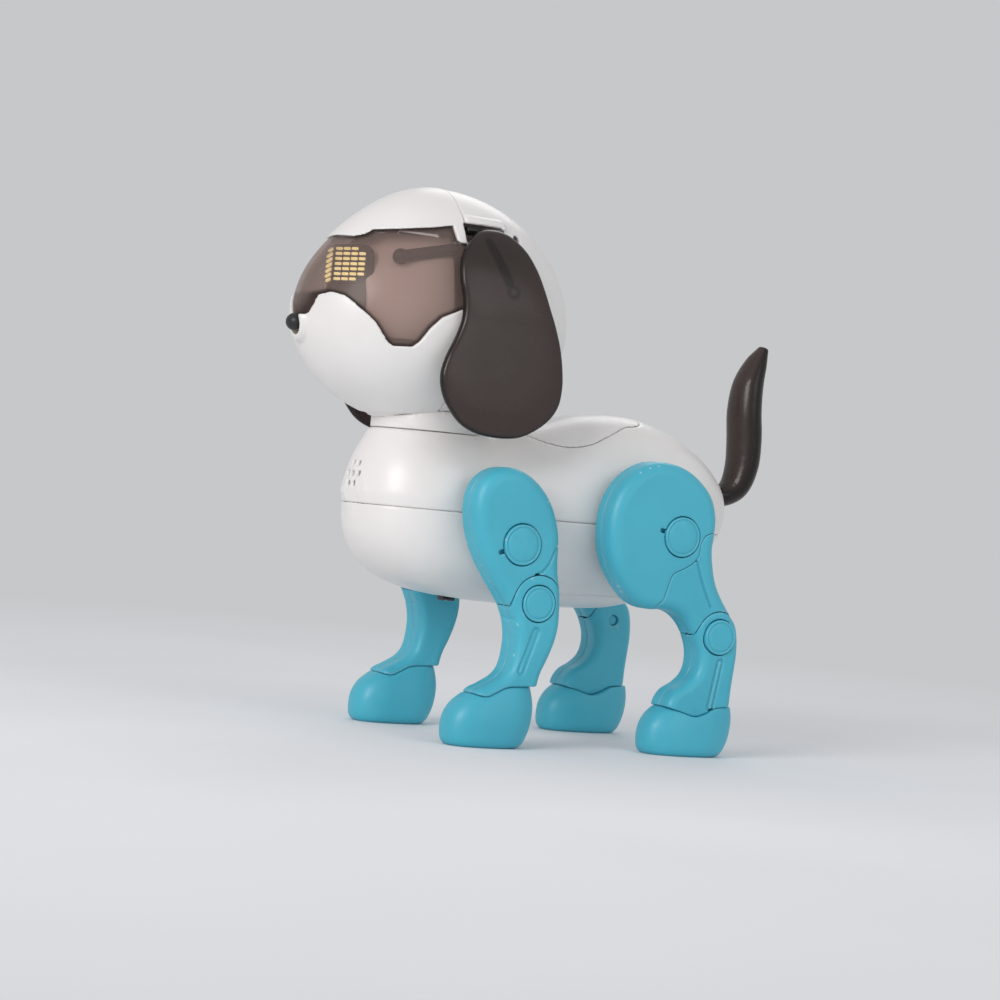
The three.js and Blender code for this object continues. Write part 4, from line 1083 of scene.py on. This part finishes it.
def hub(end, y, z, radius):
    return disc(y, z, KNEE[end], radius)


def hip_recess(end, x, y, z):
    ky, kz = KEY[end]
    hy, hz = HIP[end]
    ring = disc(y, z, HIP[end], HIP_CAP_R + 0.25)
    reach = HIP_CAP_R + 1.5
    key = capsule(y, z, (hy + ky * 6, hz + kz * 6), (hy + ky * reach, hz + kz * reach), 0.8)
    return np.maximum(np.minimum(ring, key), LEG_OUT - CAP_DEPTH - x)


LOBE = ((-6, 70.2), (-8.8, 69.1), (-10.2, 67), (-11.6, 63.4), (-14, 60.4), (-16.5, 59.3))
CALF_CREASE = ((47.2, 68.2), (49.7, 62.2), (52.3, 56.9), (54.7, 52.7))
SCREWS = {"front": ((-33, 78), (-17, 84)), "rear": ((22, 66), (30, 91))}


def outer_half(solid, x):
    return both(solid, LEG_SPLIT + SEAM / 2 - x, CREASE)


def inner_half(solid, x):
    return both(solid, x - (LEG_SPLIT - SEAM / 2), CREASE)


def thigh_outer(end, x, y, z):
    shell = outer_half(thigh_solid(end, x, y, z), x)
    shell = cut(shell, hip_recess(end, x, y, z), 0.35)
    shell = cut(shell, hub(end, y, z, TONGUE_R + 1), 0.3)
    if end == "front":
        return groove(shell, polyline(LOBE, y, z), 0.8, 0.5, 0.25)
    return cut(shell, calf_region(y, z) - SEAM, 0.35)


def thigh_inner(end, x, y, z):
    ky, kz = KNEE[end]
    hy, hz = HIP[end]
    reach = (hy + (ky - hy) * 0.45, hz + (kz - hz) * 0.45)
    shell = inner_half(thigh_solid(end, x, y, z), x)
    tongue = both(hub(end, y, z, TONGUE_R), slab(x, *TONGUE_X), 0.3)
    link = both(capsule(y, z, (ky, kz), reach, 3.4), slab(x, TONGUE_X[0], LEG_SPLIT - SEAM / 2), 0.3)
    shell = either(either(shell, tongue, 0.2), link, 0.4)
    shell = cut(shell, disc(y, z, HIP[end], AXLE_R + AXLE_GAP), 0.3)
    for screw in SCREWS[end]:
        shell = cut(shell, np.maximum(disc(y, z, screw, 1.7), x - LEG_IN - 2.2), 0.3)
    return cut(shell, disc(y, z, KNEE[end], AXLE_R + AXLE_GAP), 0.3)


def calf_cover(x, y, z):
    shell = outer_half(both(thigh_solid("rear", x, y, z), calf_region(y, z), 0.35), x)
    return groove(shell, polyline(CALF_CREASE, y, z), 0.9, 0.5, 0.25)


def shank_solid(end, x, y, z):
    shell = both(leg_plate(end, x, y, z), knee_region(end, y, z), 0.35)
    shell = both(shell, SEAM - paw_region[end](y, z), 0.5)
    room = np.minimum(KNEE[end][1] - z, hub(end, y, z, TONGUE_R + 0.8))
    room = both(both(hub(end, y, z, HUB_R[end] + 3), room, 0),
                slab(x, TONGUE_X[0] - 0.3, TONGUE_X[1] + 0.3), 0)
    shell = cut(shell, room, 0.2)
    return cut(shell, disc(y, z, KNEE[end], AXLE_R), 0.1)


def shank_outer(end, x, y, z):
    shell = outer_half(shank_solid(end, x, y, z), x)
    recess = np.maximum(disc(y, z, KNEE[end], KNEE_CAP_R + 0.25), LEG_OUT - CAP_DEPTH - x)
    shell = cut(shell, recess, 0.35)
    strip = capsule(y, z, *STRIP[end], 0)
    shell = groove(shell, strip, 2.9, 0.5, 0.25)
    return either(shell, both(strip - 0.5, slab(x, LEG_OUT - 3, LEG_OUT - 0.45), 0.2), 0.15)


def shank_inner(end, x, y, z):
    return inner_half(shank_solid(end, x, y, z), x)


paw_toe, paw_side, paw_heel = (smooth([(row[0], row[k]) for row in PAW_LEVELS], False) for k in (1, 2, 3))


def paw_raw(end, x, y, z):
    front, back = PAW_Y[end]
    toe, side, heel = (np.interp(z, line[:, 0], line[:, 1]) for line in (paw_toe, paw_side, paw_heel))
    y0, y1 = front + toe, back - heel
    hx = (PAW_X[1] - PAW_X[0]) / 2 * 0.96 - side
    u = np.abs(x - (PAW_X[0] + PAW_X[1]) / 2) / hx
    v = np.abs(y - (y0 + y1) / 2) / ((y1 - y0) / 2)
    return (u ** PAW_POWER + v ** PAW_POWER) ** (1 / PAW_POWER) - 1


def paw(end, x, y, z):
    body = both(even(partial(paw_raw, end), x, y, z), slab(z, 0, PAW_TOP), 1.0)
    return both(body, paw_region[end](y, z), 0.5)


def round_cap(x, y, z, centre, radius):
    """The cap of a pin on a leg's outer face, with a ring groove."""
    cap = rod(y, z, x, centre, radius - 0.1, CAP_X, 0.6)
    return groove(cap, np.abs(disc(y, z, centre, radius - 1.1)), 0.6, 0.25, 0.2)


def hip_cap(end, x, y, z):
    return round_cap(x, y, z, HIP[end], HIP_CAP_R)


def knee_pin(end, x, y, z):
    pin = rod(y, z, x, KNEE[end], AXLE_R - 0.15, (LEG_IN + 1, LEG_OUT - 1), 0.3)
    return either(round_cap(x, y, z, KNEE[end], KNEE_CAP_R), pin, 0.2)


# low and high y, z of the room in which a shell is meshed
THIGH_ROOM = {"front": ((-44, 40), (-3, 97)), "rear": ((9, 38), (70, 103))}
SHANK_ROOM = {"front": ((-40, 12), (-3, 61)), "rear": ((38, 10), (72, 53))}


def build_legs():
    for end in ("front", "rear"):
        hy, hz = HIP[end]
        ky, kz = KNEE[end]
        front, back = PAW_Y[end]
        thigh, shank = ([(LEG_IN - 1, *low), (LEG_OUT + 1, *high)]
                        for low, high in (THIGH_ROOM[end], SHANK_ROOM[end]))
        for node, body, field, low, high, step, share in (
            ("thigh_outer", "leg", thigh_outer, *thigh, 0.4, 0.4),
            ("thigh_inner", "leg", thigh_inner, *thigh, 0.5, 0.4),
            ("hip_cap", "leg", hip_cap, (40, hy - 9, hz - 9), (45.5, hy + 9, hz + 9), 0.25, 0.4),
            ("knee_pin", "leg", knee_pin, (29, ky - 8, kz - 8), (45.5, ky + 8, kz + 8), 0.3, 0.5),
            ("shank_outer", "shank", shank_outer, *shank, 0.35, 0.4),
            ("shank_inner", "shank", shank_inner, *shank, 0.5, 0.4),
            ("paw", "shank", paw, (25, front - 1, -1), (47, back + 1, 25), 0.5, 0.6),
        ):
            add_pair(f"{node}_{end}", f"{body}_{end}", partial(field, end), low, high, step, share)
    add_pair("calf_cover", "leg_rear", calf_cover, (LEG_IN, 30, 40), (LEG_OUT + 1, 72, 81), 0.35, 0.45)


def add_pair(node, body, field, low, high, step, share):
    """One piece of a left leg and its mirror image on the right."""
    mesh = field_mesh(node, field, low, high, step, share)
    for side, own in (("left", mesh), ("right", mirrored(mesh))):
        new_object(f"{node}_{side}_smooth", own, TEAL, f"{body}_{side}", f"{node}_{side}")


# ---- carried CAD nodes


def dress_inside():
    """Materials of the inner pieces that keep their CAD shape."""
    looks = {
        "motor": STEEL, "motor_pinion": BRASS, "reduction_gear_1": NYLON, "reduction_gear_2": NYLON,
        "crank_gear": NYLON, "gearbox_frame": NYLON, "hip_axle_front": STEEL, "hip_axle_rear": STEEL,
        "battery_1": JACKET, "battery_2": JACKET, "battery_3": JACKET, "circuit_board": GREEN,
        "speaker": STEEL, "tail_pin": STEEL,
    }
    for name, material in looks.items():
        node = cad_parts[name]
        node.data.materials.clear()
        node.data.materials.append(material)


# ---- stage, light, camera

FLOOR_PAPER = (0.80, 0.81, 0.83, 1.0)  # the floor near the dog
PAPER = (0.95, 0.96, 0.98, 1.0)  # backdrop, and clouds on the floor
WORLD = 0.6  # strength of the even light around
FLOOR_FADE = (0.22, 0.75)  # metres from the dog where the floor turns into backdrop
FLOOR_R, FLOOR_SIDES = 6.0, 64  # metres, corners

CAMERA_AT = (0.8584, -0.4740, 0.0841)
CAMERA_AHEAD = (-0.8794, 0.4762, -0.0008)
CAMERA_UP = (-0.0445, -0.0805, 0.9959)
CAMERA_LENS, CAMERA_SENSOR = 99.7, 36  # millimetres


def build_stage():
    world = bpy.data.worlds.new("studio")
    bpy.context.scene.world = world
    world.use_nodes = True
    bpy.context.scene.view_settings.view_transform = "Standard"
    background = world.node_tree.nodes["Background"]
    background.inputs["Color"].default_value = PAPER
    background.inputs["Strength"].default_value = WORLD
    mesh = bpy.data.meshes.new("floor")
    turns = np.linspace(0, 2 * math.pi, FLOOR_SIDES, endpoint=False)
    ring = [(FLOOR_R * math.cos(a), FLOOR_R * math.sin(a), 0) for a in turns]
    mesh.from_pydata(ring, [], [list(range(FLOOR_SIDES))])
    floor = placed("floor", mesh)
    n = Nodes("floor_paper")
    size = n.add("VectorMath", operation="LENGTH")
    n.put(size.inputs[0], n.place)
    fade = n.ramp(size.outputs["Value"], *FLOOR_FADE, 0.0, 1.0)
    shade = n.mix(n.vary(n.noise(6.0), 0, 0.2), FLOOR_PAPER, PAPER)
    paper = n.add("BsdfDiffuse", Color=shade)
    glow = n.add("Emission", Color=PAPER, Strength=WORLD)
    mesh.materials.append(n.done(n.blend(fade, paper, glow)))


def area_light(name, at, aim, size, power, colour=(1, 1, 1)):
    data = bpy.data.lights.new(name, "AREA")
    data.shape = "DISK"
    data.size = size
    data.energy = power
    data.color = colour
    light = placed(name, data)
    light.location = at
    light.rotation_euler = (Vector(aim) - Vector(at)).to_track_quat("-Z", "Y").to_euler()


def build_lights():
    aim = (0, 0, 0.1)
    area_light("key", (0.55, -1.0, 0.55), aim, 0.6, 6.5, (1.0, 0.98, 0.97))
    area_light("fill", (1.0, 0.3, 0.5), aim, 0.7, 1.2, (0.95, 0.98, 1.0))
    area_light("back", (-0.7, 0.5, 0.8), aim, 0.5, 1.2)


def build_camera():
    data = bpy.data.cameras.new("camera")
    data.lens = CAMERA_LENS
    data.sensor_width = CAMERA_SENSOR
    data.clip_start = 0.01
    camera = placed("camera", data)
    forward = Vector(CAMERA_AHEAD).normalized()
    right = forward.cross(Vector(CAMERA_UP)).normalized()
    up = right.cross(forward)
    turn = Matrix((right, up, -forward)).transposed().to_4x4()
    camera.matrix_world = Matrix.Translation(CAMERA_AT) @ turn
    bpy.context.scene.camera = camera


build_head()
build_ears()
build_torso()
build_tail()
build_legs()
dress_inside()
build_stage()
build_lights()
build_camera()
